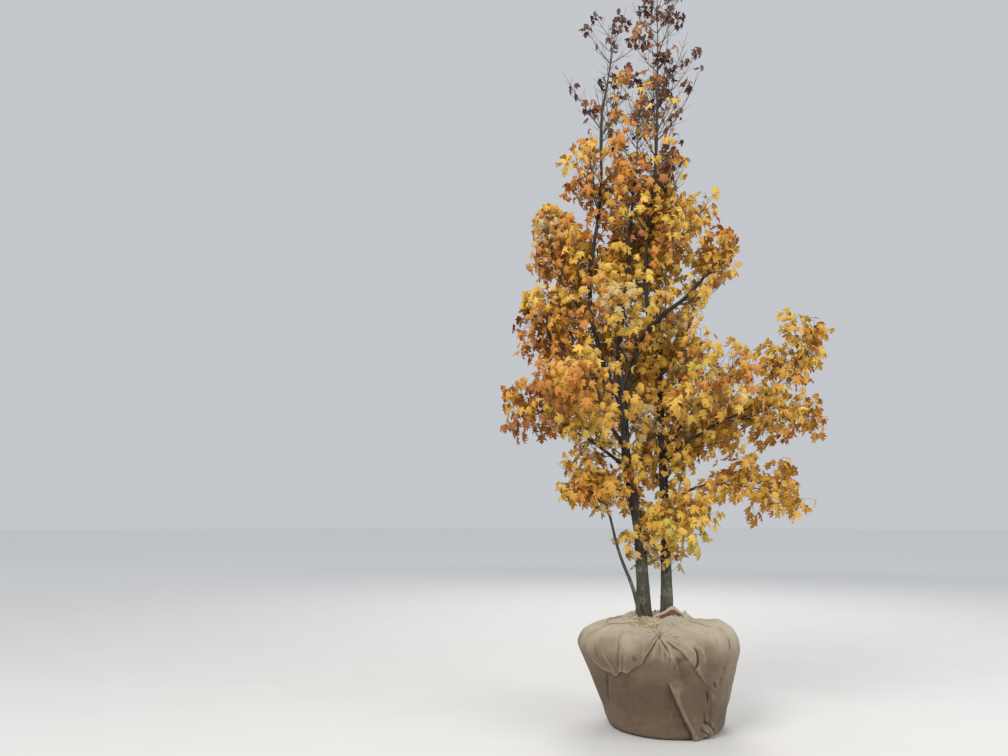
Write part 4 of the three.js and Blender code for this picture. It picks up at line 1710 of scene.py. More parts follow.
    def join(self, kind: list[Tube], sides: int) -> Draft:
        """All twigs of one kind as one mesh.

        Args:
            kind: The twigs, each its points and its radii.
            sides: How many sides each has.

        Returns:
            The draft.
        """
        paths = np.array([[tuple(p) for p in points] for points, _ in kind])
        radii = np.array([tuple(r) for _, r in kind])
        vertices, faces = tubes(paths, radii, sides)
        steps = np.linalg.norm(np.diff(paths, axis=1), axis=2)
        far = np.concatenate([np.zeros((len(paths), 1)), np.cumsum(steps, axis=1)], axis=1)
        return Draft().add(vertices, faces, rolled_out(radii, far, sides).reshape(-1, 3))

    def build(self) -> None:
        """Grows every mass and joins what grew, each kind apart."""
        for mass in self.masses:
            self.grow_mass(mass)
        for limb in self.wood.limbs.values():
            self.grow_shoots(limb)
        skin = TwigFinish((0.05, 0.034, 0.024), (0.095, 0.055, 0.032)).material("twig_skin")
        self.join(self.stems, 8).build("twigs_main", skin, "bark")
        self.join(self.twigs, 5).build("twigs_side", skin, "bark")
        self.join(self.fine, 4).build("twigs_fine", skin, "bark")
        stalk = TwigFinish((0.42, 0.2, 0.05), (0.3, 0.09, 0.03)).material("leaf_stalk")
        self.join(self.stalks, 3).build("leaf_stalks", stalk, "gold_leaves")
        counts = {mass.name: self.tally[mass.name] for mass in self.masses}
        main = {name: max(Tint, key=lambda tint: count.get(tint, 0)) for name, count in counts.items()}
        for tint, leaves in self.leaves.items():
            if leaves.rows:
                slot = "brown_leaves" if tint in (Tint.UMBER, Tint.MAROON) else "gold_leaves"
                mine = [f"foliage_{name}" for name, most in main.items() if most is tint]
                label = f"leaves_{tint.name.lower()}"
                leaves.draft(LeafShape()).build(label, tint.value.material(label), slot, mine)
        log.info("%d leaves in all", sum(len(leaves.rows) for leaves in self.leaves.values()))


# The root ball in its cloth


@dataclass(frozen=True)
class Fold:
    """A fold of the cloth, or a crease where its depth is below 0.

    Its path is angles from the front and heights. It falls off over its width, on the right of its path over
    the steep part of that, and fades out over a part of its length at each end.
    """

    path: tuple[Pair, ...]
    width: float
    depth: float
    steep: float = 1.0
    fade: Pair = (0.2, 0.2)


FOLDS = tuple(Fold(*row) for row in (
    # The rolled edge that runs down to the right from the knot
    (((-10, 0.712), (-1, 0.672), (5, 0.632), (10, 0.57), (16, 0.49), (22, 0.415), (29, 0.36)),
     0.06, 0.013, 0.18, (0.05, 0.3)),
    (((-6, 0.7), (3, 0.676), (10, 0.64), (16, 0.59)), 0.012, 0.005, 0.7),
    # Small folds that fall from the knot
    (((-10, 0.706), (-4, 0.652), (-2, 0.585), (-3, 0.485), (-4, 0.39)), 0.015, 0.01, 0.6, (0.1, 0.5)),
    (((-10, 0.7), (-8, 0.629), (-8, 0.551), (-10, 0.44)), 0.012, 0.006, 0.8, (0.1, 0.6)),
    (((-11, 0.7), (-13, 0.64), (-15, 0.54), (-18, 0.38)), 0.018, 0.006, 1.0, (0.1, 0.6)),
    (((-10, 0.69), (-5, 0.615), (-6, 0.5)), 0.009, 0.005, 1.0, (0.1, 0.5)),
    (((-12, 0.68), (-20, 0.56), (-26, 0.4), (-28, 0.22)), 0.034, 0.007, 1.0, (0.2, 0.5)),
    (((-8, 0.64), (0, 0.56), (3, 0.44)), 0.01, 0.005, 1.0, (0.2, 0.5)),
    # The big fold low in the middle, with its steep side on the left
    (((-5, 0.43), (-3, 0.36), (0, 0.281), (6, 0.161), (13, 0.055), (16, 0.0)),
     0.11, 0.038, 0.07, (0.25, 0.0)),
    (((2, 0.62), (4, 0.518), (8, 0.4), (14, 0.3)), 0.052, -0.02, 1.0, (0.2, 0.4)),
    (((4, 0.33), (9, 0.24), (15, 0.12), (20, 0.03)), 0.034, 0.005, 1.0, (0.3, 0.1)),
    # Slits and puckers right of the middle
    (((13, 0.66), (15, 0.615), (15, 0.55), (13, 0.5)), 0.014, -0.021, 0.6, (0.5, 0.2)),
    (((17, 0.665), (20, 0.6), (20, 0.5)), 0.03, 0.008, 0.6, (0.3, 0.4)),
    (((25, 0.345), (27, 0.3), (27, 0.235)), 0.012, -0.02, 0.6, (0.4, 0.4)),
    (((29, 0.39), (33, 0.275), (34, 0.146), (35, 0.03)), 0.05, 0.012, 0.5, (0.3, 0.1)),
    (((22, 0.085), (34, 0.05), (46, 0.075)), 0.05, 0.02, 1.0, (0.3, 0.3)),
    (((24, 0.23), (25, 0.14), (30, 0.06)), 0.012, -0.01, 1.0, (0.4, 0.3)),
    (((38, 0.12), (36, 0.07), (39, 0.01)), 0.01, -0.01, 1.0, (0.4, 0.0)),
    (((22, 0.13), (30, 0.11), (40, 0.035)), 0.01, -0.012),
    (((18, 0.09), (26, 0.06), (34, 0.02)), 0.008, -0.008),
    (((54, 0.69), (50, 0.64), (46, 0.59)), 0.016, -0.006, 1.0, (0.4, 0.4)),
    (((31, 0.4), (33, 0.38), (34, 0.35)), 0.012, -0.012),
    (((43, 0.55), (41, 0.422), (40, 0.345)), 0.02, -0.007),
    (((60, 0.58), (55, 0.43), (50, 0.28)), 0.034, 0.012),
    (((67, 0.66), (64, 0.56), (59, 0.44)), 0.02, -0.007, 1.0, (0.4, 0.4)),
    # The left side
    (((-52, 0.45), (-60, 0.33), (-68, 0.176)), 0.02, -0.011),
    (((-44, 0.43), (-42, 0.25), (-36, 0.06)), 0.034, 0.009),
    (((-66, 0.65), (-74, 0.727), (-86, 0.759)), 0.014, -0.008),
    (((-76, 0.56), (-80, 0.36), (-78, 0.12)), 0.045, 0.01, 0.6, (0.4, 0.4)),
    (((-94, 0.65), (-92, 0.45), (-98, 0.25)), 0.02, -0.007, 1.0, (0.5, 0.5)),
    (((-112, 0.7), (-108, 0.42), (-104, 0.1)), 0.07, 0.018, 0.4, (0.3, 0.4)),
    # The right shoulder, which stands high, and the right side
    (((62, 0.722), (90, 0.715), (118, 0.72)), 0.11, 0.036, 1.0, (0.35, 0.35)),
    (((80, 0.56), (82, 0.3), (84, 0.06)), 0.06, 0.014, 0.5, (0.4, 0.3)),
    (((96, 0.68), (100, 0.5), (94, 0.3)), 0.022, -0.009, 1.0, (0.5, 0.5)),
    # The back
    (((138, 0.7), (126, 0.4), (112, 0.06)), 0.08, 0.024, 0.22, (0.3, 0.3)),
    (((130, 0.56), (118, 0.3)), 0.045, -0.01, 1.0, (0.5, 0.5)),
    (((164, 0.7), (174, 0.43), (190, 0.06)), 0.085, 0.028, 0.18, (0.1, 0.2)),
    (((169, 0.7), (164, 0.56), (168, 0.4)), 0.016, -0.01, 1.0, (0.1, 0.6)),
    (((173, 0.7), (184, 0.6), (200, 0.48)), 0.018, 0.009, 1.0, (0.1, 0.6)),
    (((170, 0.69), (156, 0.6), (146, 0.52)), 0.016, 0.009, 1.0, (0.1, 0.6)),
    (((168, 0.69), (160, 0.56), (156, 0.42)), 0.014, 0.007, 1.0, (0.1, 0.6)),
    (((214, 0.7), (212, 0.4), (206, 0.05)), 0.075, 0.022, 0.35, (0.3, 0.4)),
    (((224, 0.62), (226, 0.44)), 0.02, -0.008, 1.0, (0.5, 0.5)),
))
# The places on the upper flap where it is drawn in along its seam, and hollow beside that
FLAP_FOLDS = tuple(Fold(*row) for row in (
    (((-42, 0.72), (-38, 0.62), (-39, 0.54), (-42, 0.445)), 0.01, -0.009, 0.7, (0.3, 0.0)),
    (((-54, 0.64), (-49, 0.56), (-45, 0.46)), 0.02, 0.011, 0.6, (0.5, 0.0)),
    (((-48, 0.58), (-45, 0.52), (-43, 0.455)), 0.008, -0.009, 1.0, (0.4, 0.0)),
    (((-36, 0.6), (-37, 0.54), (-40, 0.46)), 0.007, 0.01, 1.0, (0.4, 0.0)),
    (((-32, 0.64), (-33, 0.57), (-36, 0.48)), 0.014, 0.011, 0.6, (0.5, 0.0)),
    (((-36, 0.59), (-34, 0.53), (-37, 0.48)), 0.007, -0.008, 1.0, (0.5, 0.0)),
    (((-27, 0.61), (-27, 0.575), (-26, 0.545)), 0.018, -0.008, 1.0, (0.5, 0.3)),
    (((-20, 0.69), (-20, 0.64), (-21, 0.59)), 0.014, 0.01, 1.0, (0.3, 0.0)),
    (((-60, 0.64), (-56, 0.56), (-52, 0.49)), 0.012, -0.008, 1.0, (0.3, 0.0)),
))
KNOTS = ((-10, 0.716), (170, 0.706))
METRES_PER_DEGREE = math.pi * BALL_RADIUS / 180


@dataclass
class Cloth:
    """The surface of the wrapped ball, which every piece of cloth and twine on it lies on.

    A place on it is an angle from the front in degrees and an arc, how far up the cloth it lies from the rim
    of the foot. The side is the ball's outline, as radius and height, and the neck is the radius at which the
    gathered cloth stands highest. A knot draws the cloth in so deep and so far round, and its rays are small
    folds with a height, a number and a reach. Between the top arcs the drape gives way to the gathered top.
    """

    foot_radius: float = 0.384
    side: tuple[Pair, ...] = (
        (0.384, 0.0), (0.42, 0.034), (0.464, 0.165), (0.517, 0.332), (0.569, 0.489), (0.597, 0.58),
        (0.569, 0.662), (0.507, 0.71), (0.357, 0.75), (0.245, 0.768), (0.205, 0.776),
    )
    neck: float = 0.215
    neck_width: float = 0.04
    knot: Pair = (0.024, 0.026)
    rays: tuple[float, int, float] = (0.008, 11, 0.1)
    pleat: float = 0.007
    top_arcs: Pair = (1.22, 1.08)

    def __post_init__(self) -> None:
        """Measures the outline."""
        curve = smooth_path([Vector((r, 0, z)) for r, z in self.side], 400)[:, [0, 2]]
        curve[:, 1] = np.maximum(curve[:, 1], 0)
        curve = np.vstack([(0, 0), (self.foot_radius * 0.5, 0), curve, (0, BALL_HEIGHT)])
        steps = np.hypot(*np.diff(curve, axis=0).T)
        arc = np.concatenate([[0], np.cumsum(steps)]) - self.foot_radius
        self.first, self.last = float(arc[0]), float(arc[-1])
        self.arcs = np.linspace(self.first, self.last, 2000)
        self.radii, self.levels = (np.interp(self.arcs, arc, curve[:, i]) for i in range(2))
        soft = np.ones(25) / 25
        out = [np.convolve(np.gradient(v), soft, "same") for v in (self.levels, -self.radii)]
        size = np.maximum(np.hypot(*out), TINY)
        self.normals = out[0] / size, out[1] / size
        self.rising = (self.arcs > 0) & (self.radii > SEAT_RADIUS)

    def arc_at(self, level: float) -> float:
        """The arc at a height on the ball's side or shoulder."""
        return float(np.interp(level, self.levels[self.rising], self.arcs[self.rising]))

    def across_from(self, middle: float, angle: Array) -> Array:
        """How far round the ball angles lie from a middle one, in metres."""
        return ((angle - middle + 180) % 360 - 180) * METRES_PER_DEGREE

    def fold_depth(self, fold: Fold, angle: Array, arc: Array) -> Array:
        """How far a fold pushes the cloth out.

        Args:
            fold: The fold.
            angle: The places' angles.
            arc: Their arcs.

        Returns:
            The distance at each place.
        """
        middle = fold.path[len(fold.path) // 2][0]
        place = np.stack([self.across_from(middle, angle), arc], -1)
        points = [np.array([(a - middle) * METRES_PER_DEGREE, self.arc_at(level)]) for a, level in fold.path]
        near, signed, reached = (np.full(angle.shape, value) for value in (9.0, 9.0, 0.0))
        for i, (a, b) in enumerate(pairwise(points)):
            run = b - a
            share = np.clip((place - a) @ run / (run @ run), 0, 1)
            off = place - (a + share[..., None] * run)
            distance = np.hypot(off[..., 0], off[..., 1])
            closer = distance < near
            near = np.where(closer, distance, near)
            signed = np.where(closer, np.sign(run[0] * off[..., 1] - run[1] * off[..., 0]) * distance, signed)
            reached = np.where(closer, (i + share) / (len(points) - 1), reached)
        width = np.where(signed < 0, fold.width * fold.steep, fold.width)
        start, end = (eased(-0.01, max(f, 0.01), far) for f, far in zip(fold.fade, (reached, 1 - reached)))
        return fold.depth * np.exp(-((near / width) ** 2)) * (start * end)

    def knot_depth(self, knot: Pair, angle: Array, arc: Array) -> Array:
        """How a knot draws the cloth in, with small folds that run to it from all sides.

        Args:
            knot: The knot's angle and height.
            angle: The places' angles.
            arc: Their arcs.

        Returns:
            How far the cloth moves out at each place.
        """
        x, y = self.across_from(knot[0], angle) * 0.85, arc - self.arc_at(knot[1])
        far, turn = np.hypot(x, y), np.arctan2(y, x)
        height, count, reach = self.rays
        rays = np.cos(turn * count + 1.4 * np.sin(turn * 2)) * eased(0.01, 0.04, far) * np.exp(-far / reach)
        return height * rays - self.knot[0] * np.exp(-((far / self.knot[1]) ** 2))

    def gather(self, angle: Array, arc: Array, radius: Array, place: Array) -> Array:
        """How the cloth is gathered over the top: pleats that run in to the neck, and the neck's own heap.

        Args:
            angle: The places' angles.
            arc: Their arcs.
            radius: Their distances from the ball's middle line.
            place: Where they lie on the plain outline.

        Returns:
            How far the cloth moves out at each place.
        """
        turn = np.radians(angle)
        rim = np.stack([np.sin(turn) * 5, np.cos(turn) * 5, arc * 1.5], -1)
        pleats = (1 - np.abs(lattice_noise(rim, 0.42, 7)) * 2) * eased(0.86, 1.08, arc) * self.pleat
        tall = 0.03 + 0.012 * lattice_noise(place, 0.1, 8) + 0.01 * lattice_noise(place, 0.035, 9)
        heap = tall * np.exp(-(((radius - self.neck) / self.neck_width) ** 2))
        inside = 0.01 * lattice_noise(place, 0.045, 10) * eased(0.22, 0.16, radius)
        return (pleats + heap + inside) * eased(0.72, 0.75, place[..., 2])

    def relief(self, angle: Array, arc: Array) -> Array:
        """How far the cloth lies outside its plain outline.

        Args:
            angle: The places' angles.
            arc: Their arcs.

        Returns:
            The distance at each place.
        """
        radius, level = (np.interp(arc, self.arcs, values) for values in (self.radii, self.levels))
        turn = np.radians(angle)
        place = np.stack([radius * np.sin(turn), -radius * np.cos(turn), level], -1)
        lumps = 0.009 * lattice_noise(place, 0.22, 3) + 0.0045 * lattice_noise(place, 0.09, 4)
        wrinkles = 0.0026 * (1 - np.abs(lattice_noise(place, (0.05, 0.05, 0.18), 5)) * 2)
        slack = 0.003 * lattice_noise(place, (0.14, 0.14, 0.035), 13) * eased(0.3, 0.05, level)
        crumple = 0.0016 * lattice_noise(place, 0.026, 6)
        folds = sum(self.fold_depth(fold, angle, arc) for fold in FOLDS)
        knots = sum(self.knot_depth(knot, angle, arc) for knot in KNOTS)
        drape = (lumps + wrinkles + slack + crumple + folds + knots) * eased(*self.top_arcs, arc)
        return drape * eased(0.0, 0.05, arc) + self.gather(angle, arc, radius, place)

    def surface(self, angle: Array, arc: Array, lift: Array | float = 0.0) -> Array:
        """Points on the cloth.

        Args:
            angle: Their angles from the front.
            arc: Their arcs.
            lift: How far they lie above the cloth.

        Returns:
            The points, in the scene's frame.
        """
        out = (self.relief(angle, arc) + lift) * (arc > 0)
        radius = np.interp(arc, self.arcs, self.radii) + np.interp(arc, self.arcs, self.normals[0]) * out
        level = np.interp(arc, self.arcs, self.levels) + np.interp(arc, self.arcs, self.normals[1]) * out
        level = np.maximum(level, 0.0)
        centre = FOOT_OFFSET + (SHOULDER_OFFSET - FOOT_OFFSET) * np.minimum(level / SHOULDER_LEVEL, 1)
        turn = np.radians(angle)
        return np.stack([centre + radius * np.sin(turn), -radius * np.cos(turn), level], -1)

    def mean_relief(self, angle: Array, arc: Array, round_by: float, up_by: float) -> Array:
        """The mean relief of two places round the ball from each one, and two up and down."""
        shifts = ((round_by, 0), (-round_by, 0), (0, up_by), (0, -up_by))
        return sum(self.relief(angle + a, arc + b) for a, b in shifts) / 4

    def note(self, angle: Array, arc: Array) -> Array:
        """What the finish reads.

        Args:
            angle: The places' angles.
            arc: Their arcs.

        Returns:
            The way round and up the cloth, and how deep in a fold it lies, from -1 to 1.
        """
        depth = self.relief(angle, arc)
        near, wide = (self.mean_relief(angle, arc, *shift) - depth for shift in ((1.2, 0.012), (4, 0.04)))
        softer = 1 - 0.55 * eased(0.84, 0.98, arc)
        # The finish paints hollows darker, partly soil and partly painted shade, and crests paler, as painted
        # highlight.
        hollow = np.clip(near / 0.0045 + wide / 0.022, -1, 1) * softer
        return np.stack([angle * METRES_PER_DEGREE, arc, hollow], -1).reshape(-1, 3)


@dataclass(frozen=True)
class Twine:
    """A length of jute twine on the cloth: angles and arcs, its radius, and how high its middle lies."""

    path: tuple[Pair, ...]
    radius: float = 0.0028
    lift: float = 0.003


TWINES = (
    Twine(((-76, 0.89), (-60, 0.95), (-40, 1.0), (-22, 1.01), (-8, 1.05)), 0.0026, 0.006),
    Twine(((-45, 0.86), (-38, 0.74), (-36, 0.66), (-39, 0.5)), 0.0012, 0.01),
    Twine(((-3, 1.06), (-12, 0.96), (-9, 0.85)), 0.0022, 0.004),
    Twine(((60, 1.06), (52, 0.97), (58, 0.88)), 0.0026, 0.006),
    Twine(((120, 1.06), (140, 0.96), (168, 0.83)), 0.0028, 0.005),
    Twine(((215, 1.06), (196, 0.95), (172, 0.83)), 0.0028, 0.005),
    Twine(((250, 1.05), (262, 0.95), (280, 0.9)), 0.0028, 0.006),
)


@dataclass
class RootBall:
    """The wrapped root ball: its cloth, the flap, the gathered neck, the knots, the twine and the straw.

    The top arc is where the finer rows of the mesh start, and how many there are. The hem and the size, in
    columns and rows, are the flap's, and the thicknesses are the flap's, the corners' and the lining's. A
    loose end of a knot has a turn and a length, and most straws lie in the tufts.
    """

    cloth: Cloth = field(default_factory=Cloth)
    front_columns: int = 310
    back_columns: int = 140
    row_height: float = 0.0062
    top_arc: tuple[float, int] = (1.02, 40)
    hem: tuple[Pair, ...] = (
        (-74, 0.668), (-69, 0.61), (-65, 0.56), (-61, 0.513), (-57, 0.492), (-54, 0.47), (-49, 0.458),
        (-44, 0.438), (-41, 0.462), (-38, 0.48), (-34, 0.47), (-31, 0.492), (-28, 0.512), (-26, 0.53),
        (-23, 0.54), (-21, 0.565), (-17, 0.618), (-13, 0.672), (-9, 0.712),
    )
    flap_size: tuple[int, int] = (170, 48)
    thickness: tuple[float, float, float] = (0.0035, 0.003, 0.001)
    corner_angles: tuple[float, ...] = (-52, -31, 48, 72, 101, 139, 176, 214, 251, 287)
    loose_ends: tuple[Pair, ...] = ((-0.6, 0.055), (0.5, 0.04), (2.4, 0.045))
    straws: int = 120
    tufts: tuple[float, ...] = (-54, -38, -30, -22, -14)

    def wrap(self) -> Draft:
        """The main cloth, from the middle of the underside to the middle of the seat.

        Returns:
            The draft.
        """
        cloth, (top, fine_rows) = self.cloth, self.top_arc
        front = np.linspace(-85, 85, self.front_columns, endpoint=False)
        angles = np.concatenate([front, np.linspace(85, 275, self.back_columns, endpoint=False)])
        arcs = np.concatenate([
            np.linspace(cloth.first + 0.01, 0, 6, endpoint=False),
            np.linspace(0, top, int(top / self.row_height), endpoint=False),
            np.linspace(top, cloth.last - 0.004, fine_rows),
        ])
        arc, angle = np.meshgrid(arcs, angles, indexing="ij")
        rows, sides = arc.shape
        caps = np.stack([np.arange(sides)[::-1], (rows - 1) * sides + np.arange(sides)])
        points = cloth.surface(angle, arc).reshape(-1, 3)
        return Draft().add(points, [ring_faces(rows, sides), caps], cloth.note(angle, arc))

    def flap(self) -> Draft:
        """The upper flap that hangs over the front of the shoulder, with its scalloped hem curling up.

        Returns:
            The draft.
        """
        cloth, (columns, rows) = self.cloth, self.flap_size
        hem = smooth_path([Vector((a, 0, cloth.arc_at(level))) for a, level in self.hem], columns)[:, [0, 2]]
        share = np.linspace(0, 1, columns)
        top = np.stack([np.interp(share, [0, 1], [-84, -4]), np.full(columns, 0.93) - 0.1 * share**3], -1)
        v = np.linspace(0, 1, rows)[:, None] ** 1.6
        angle, arc = (hem[:, i] * (1 - v) + top[:, i] * v for i in range(2))
        down = (top[:, 1] - hem[:, 1]) * v
        place = np.stack([angle * METRES_PER_DEGREE, arc, 0 * arc], -1)
        ripple = lattice_noise(place, (0.026, 0.08, 1), 11)
        edge = np.exp(-down / 0.022)
        folds = sum(cloth.fold_depth(fold, angle, arc) for fold in FLAP_FOLDS)
        lumps = 0.002 * lattice_noise(place, 0.05, 12)
        lift = 0.009 + 0.009 * edge + 0.009 * edge * ripple + lumps + folds * 0.7
        tucked = eased(0.55, 1.0, v) + eased(0.1, 0.0, share) + eased(0.93, 1.0, share)
        lift = np.maximum(lift, 0.003) - 0.024 * np.clip(tucked, 0, 1)
        vertices, faces = thick_sheet(cloth.surface(angle, arc, lift), self.thickness[0])
        # The flap's note paints shade in its creases and under the cloth's folds, partly soil, and painted
        # highlight on its crests, its rippled edge and in a pale line along the hem.
        below = cloth.note(angle, arc)[:, 2].reshape(arc.shape) * 0.5
        hollow = below - folds / 0.016 - 0.4 * edge * ripple - 1.2 * np.exp(-down / 0.006)
        note = np.stack([place[..., 0], place[..., 1], np.clip(hollow, -1, 1)], -1).reshape(-1, 3)
        return Draft().add(vertices, faces, np.concatenate([note, note]))

    def standing(self, left: Floats, tip: Floats, right: Floats, drop: float) -> Array:
        """A corner of cloth that stands up from the neck.

        Args:
            left: Where its rim starts.
            tip: Its highest point.
            right: Where its rim ends.
            drop: How far it goes down below its rim's ends.

        Returns:
            A grid of points, from its rim down.
        """
        left, tip, right = (Vector(point) for point in (left, tip, right))
        bows = left.lerp(tip, 0.55) - UP * 0.006, tip.lerp(right, 0.5) - UP * 0.008
        rim = smooth_path([left, bows[0], tip, bows[1], right], 40)
        low = np.linspace(tuple(left - UP * drop), tuple(right - UP * drop), 40)
        v = np.linspace(0, 1, 14)[:, None, None]
        grid = rim * (1 - v) + low * v
        across = (right - left).normalized()
        belly = 0.014 * np.sin(v * math.pi) + 0.004 * lattice_noise(grid, 0.02, 17)[..., None]
        return grid + np.array((across.y, -across.x, 0)) * belly

    def corners(self) -> tuple[Draft, Draft]:
        """The corners of cloth that stand up round the neck.

        Returns:
            The corners, and the soiled lining of the one in front.
        """
        front = self.standing((-0.05, -0.165, 0.806), (0.119, -0.092, 0.872), (0.236, -0.1, 0.806), 0.04)
        grids = [front]
        draw = Draws(77)
        for angle in self.corner_angles:
            turn, radius = math.radians(angle + draw.around(10)), self.cloth.neck + draw.around(0.04)
            middle = Vector((SHOULDER_OFFSET + radius * math.sin(turn), -radius * math.cos(turn), 0.792))
            side = Vector((math.cos(turn), math.sin(turn), 0)) * draw.between(0.02, 0.05)
            out = Vector((math.sin(turn), -math.cos(turn), 0)) * draw.between(-0.01, 0.02)
            tip = middle + out + side * draw.around(1.2) + UP * draw.between(0.018, 0.04)
            grids.append(self.standing(middle - side, tip, middle + side, 0.03))
        draft = Draft()
        for grid in grids:
            vertices, faces = thick_sheet(grid[::-1], self.thickness[1])
            x, _, z = (grid[::-1, :, i] for i in range(3))
            # Below 0.8 m the corners take the darker fold colour, partly soil and partly painted shade where
            # they stand out of the neck.
            note = np.stack([x, z, 0.3 * (z < 0.8)], -1).reshape(-1, 3)
            draft.add(vertices, faces, np.concatenate([note, note]))
        # A dark sheet laid on the front corner's lower part, as its inside: its note's last part is its
        # height, which the finish reads as deep in a fold, so it is painted dark, partly soil and partly
        # painted shade.
        across = (np.linspace(0.1, 0.8, 30) * 39).astype(int)
        inner = (front[3:12, across] - np.array((0, 0.0045, 0)))[::-1]
        vertices, faces = thick_sheet(inner, self.thickness[2])
        return draft, Draft().add(vertices, faces, np.concatenate([inner.reshape(-1, 3)] * 2))

    def twine(self) -> Draft:
        """The twine that laces the top, and the two knots with their loose ends.

        Returns:
            The draft.
        """
        draft = Draft()
        for twine in TWINES:
            spots = smooth_path([Vector((a, 0, arc)) for a, arc in twine.path], 60)
            share = np.linspace(0, 1, 60)
            lift = twine.radius + twine.lift * np.sin(share * math.pi) - 0.008 * (np.abs(share - 0.5) > 0.48)
            self.strand(draft, self.cloth.surface(spots[:, 0], spots[:, 2], lift), twine.radius)
        for angle, level in KNOTS:
            arc = self.cloth.arc_at(level)
            t = np.linspace(0, math.tau, 70)
            x, y = np.sin(t) + 2 * np.sin(2 * t), np.cos(t) - 2 * np.cos(2 * t)
            spots = angle + x * 0.0048 / METRES_PER_DEGREE, arc + y * 0.0048
            self.strand(draft, self.cloth.surface(*spots, 0.008 - 0.004 * np.sin(3 * t)), 0.0036)
            for lean, long in self.loose_ends:
                share = np.linspace(0, 1, 24)
                bend = lean + 0.5 * np.sin(share * 3)
                away = angle + np.sin(bend) * share * long / METRES_PER_DEGREE
                down = arc - np.cos(bend) * share * long
                self.strand(draft, self.cloth.surface(away, down, 0.007 + 0.006 * np.sin(share * 4)), 0.0026)
        return draft

    def strand(self, draft: Draft, path: Array, radius: float) -> None:
        """Adds a twisted strand.

        Args:
            draft: What it is added to.
            path: Its path, a point to a row.
            radius: Its radius.
        """
        sides = 8
        share, turns = np.linspace(0, 1, len(path)), ring_turns(sides)
        far = np.concatenate([[0], np.cumsum(np.linalg.norm(np.diff(path, axis=0), axis=1))])
        twist = 1 + 0.16 * np.cos(3 * turns[None, :] - far[:, None] * 330)
        vertices, faces = tubes(path[None], (radius * twist)[None], sides)
        note = [np.tile(turns * radius, len(path)), np.repeat(far, sides), np.repeat(share, sides)]
        draft.add(vertices, faces, np.stack(note, -1))

    def straw(self) -> Draft:
        """Loose pale fibres of the twine, most of them in front on the left of the top.

        Returns:
            The draft.
        """
        draw = Draws(404)
        paths, radii = [], []
        share = np.linspace(-0.5, 0.5, 7)
        for _ in range(self.straws):
            front = draw.next() < 0.8
            tuft = self.tufts[int(draw.next() * len(self.tufts))]
            angle = tuft + draw.around(12) if front else draw.between(20, 290)
            arc = draw.between(0.95, 1.1)
            turn, long = draw.next() * math.tau, draw.between(0.03, 0.11)
            if front and draw.next() < 0.6:
                turn = draw.around(0.9)
            bend = turn + draw.around(1.6) * share
            angles = angle + np.cos(bend) * share * long / METRES_PER_DEGREE * 1.8
            lift = 0.002 + draw.between(0.0, 0.016) * (1 - 4 * share**2)
            paths.append(self.cloth.surface(angles, arc + np.sin(bend) * share * long, lift))
            radii.append(np.full(7, draw.between(0.0009, 0.0021)))
        vertices, faces = tubes(np.array(paths), np.array(radii), 5)
        return Draft().add(vertices, faces, vertices * np.array([1, 1, 0]))

    def build(self) -> None:
        """Makes the ball's pieces."""
        burlap = ClothFinish().material("burlap")
        # The lining's finish: reddish soil, and painted shade of the corner's inside.
        soil_and_shade = ClothFinish((0.2, 0.112, 0.066), (0.26, 0.16, 0.1), (0.09, 0.042, 0.026))
        jute = TwigFinish((0.36, 0.27, 0.15), (0.27, 0.19, 0.1)).material("jute")
        pale = TwigFinish((0.72, 0.63, 0.41), (0.55, 0.44, 0.25)).material("straw")
        corners, lining = self.corners()
        self.wrap().build("burlap_wrap", burlap, "burlap", ["root_ball"])
        self.flap().build("burlap_flap", burlap, "burlap")
        corners.build("burlap_corners", burlap, "burlap")
        lining.build("burlap_lining", soil_and_shade.material("soiled_lining"), "burlap")
        self.twine().build("jute_twine", jute, "burlap")
        self.straw().build("jute_straw", pale, "burlap")


# The studio


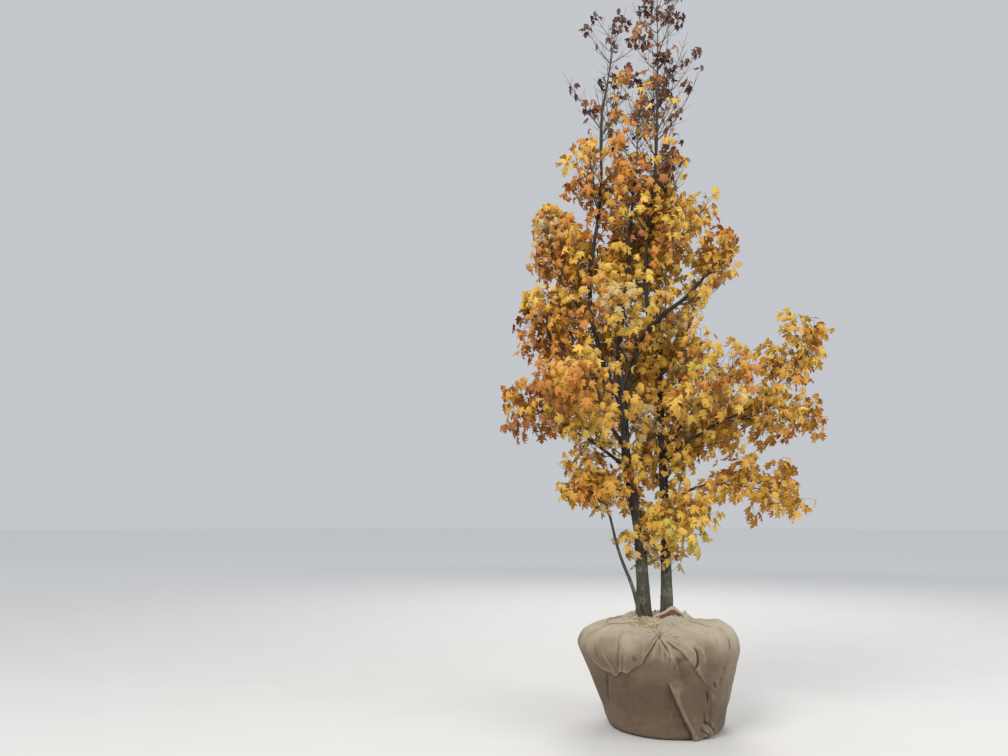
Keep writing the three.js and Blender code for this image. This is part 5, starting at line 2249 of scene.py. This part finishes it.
@dataclass
class Studio:
    """A plain pale floor, soft lights and the camera.

    The pitch is how far the camera looks up, and the lens is in millimetres, on a sensor 36 wide. A lamp has
    a name, place, width, power and colour, and faces the height of the aim.
    """

    pitch: float = 10.258
    lens: float = 27.04
    floor_radius: float = 90.0
    floor_sides: int = 96
    aim: float = 2.6
    lamps: tuple[tuple[str, Colour, float, float, Colour], ...] = (
        ("key_lamp", (-5.0, -6.5, 9.0), 5.0, 830, (1.0, 0.98, 0.95)),
        ("fill_lamp", (7.0, -4.0, 5.0), 6.0, 350, (0.95, 0.97, 1.0)),
        ("back_lamp", (2.0, 8.0, 9.0), 6.0, 600, (1.0, 0.98, 0.95)),
    )
    sky: tuple[Colour, float] = ((0.82, 0.85, 0.9), 0.67)

    def floor(self) -> None:
        """Lays the floor."""
        mesh = bpy.data.meshes.new("floor")
        rim = [heading(360 * i / self.floor_sides, 0) * self.floor_radius for i in range(self.floor_sides)]
        mesh.from_pydata(rim, [], [range(self.floor_sides)])
        paint = Paint("floor", (0.62, 0.61, 0.59), 0.9)
        place = paint.place()
        soft = paint.noise(place, 1.5, 3.0)
        far = paint.vector_maths("LENGTH", 1, place)
        near = paint.mix(soft, (0.6, 0.59, 0.57), (0.64, 0.63, 0.61))
        colour = paint.mix(paint.step(far, 3.0, 22.0), near, (0.93, 0.93, 0.92))
        mesh.materials.append(paint.finish(colour, soft, 0.0005))
        floor = put_in_scene("floor", mesh)
        floor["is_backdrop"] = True

    def light(self) -> None:
        """Hangs the soft square lamps, which face the middle of the plant, and lights the sky."""
        for name, place, width, power, colour in self.lamps:
            light = bpy.data.lights.new(name, "AREA")
            light.energy, light.size, light.color = power, width, colour
            lamp = put_in_scene(name, light)
            lamp.location = place
            lamp.rotation_euler = (UP * self.aim - Vector(place)).to_track_quat("-Z", "Y").to_euler()
        world = bpy.data.worlds.new("studio")
        world.use_nodes = True
        inputs = world.node_tree.nodes["Background"].inputs
        inputs[0].default_value, inputs[1].default_value = (*self.sky[0], 1), self.sky[1]
        bpy.context.scene.world = world

    def camera(self) -> None:
        """Sets up the camera."""
        data = bpy.data.cameras.new("camera")
        data.lens, data.sensor_width = self.lens, 36.0
        data.clip_start, data.clip_end = 0.05, 300.0
        camera = put_in_scene("camera", data)
        camera.location = FRONT_EYE
        camera.rotation_euler = (math.radians(90 + self.pitch), 0, 0)
        bpy.context.scene.camera = camera

    def build(self) -> None:
        """Makes the studio."""
        self.floor()
        self.light()
        self.camera()
        settings = bpy.context.scene.view_settings
        settings.view_transform, settings.look = "Standard", "None"


def main() -> None:
    """Builds the studio, the wood, the foliage and the ball, and works out the boxes of the part and of the
    scene.
    """
    logging.basicConfig(level=logging.INFO, format="%(message)s")
    Studio().build()
    limbs = make_limbs()
    wood = Wood(limbs)
    wood.build()
    Foliage(make_masses(limbs), wood).build()
    RootBall().build()
    boxes = {"cad": cad_box, "visual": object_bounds()}
    {name: [list(corner) for corner in box] for name, box in boxes.items()}


if __name__ == "__main__":
    main()
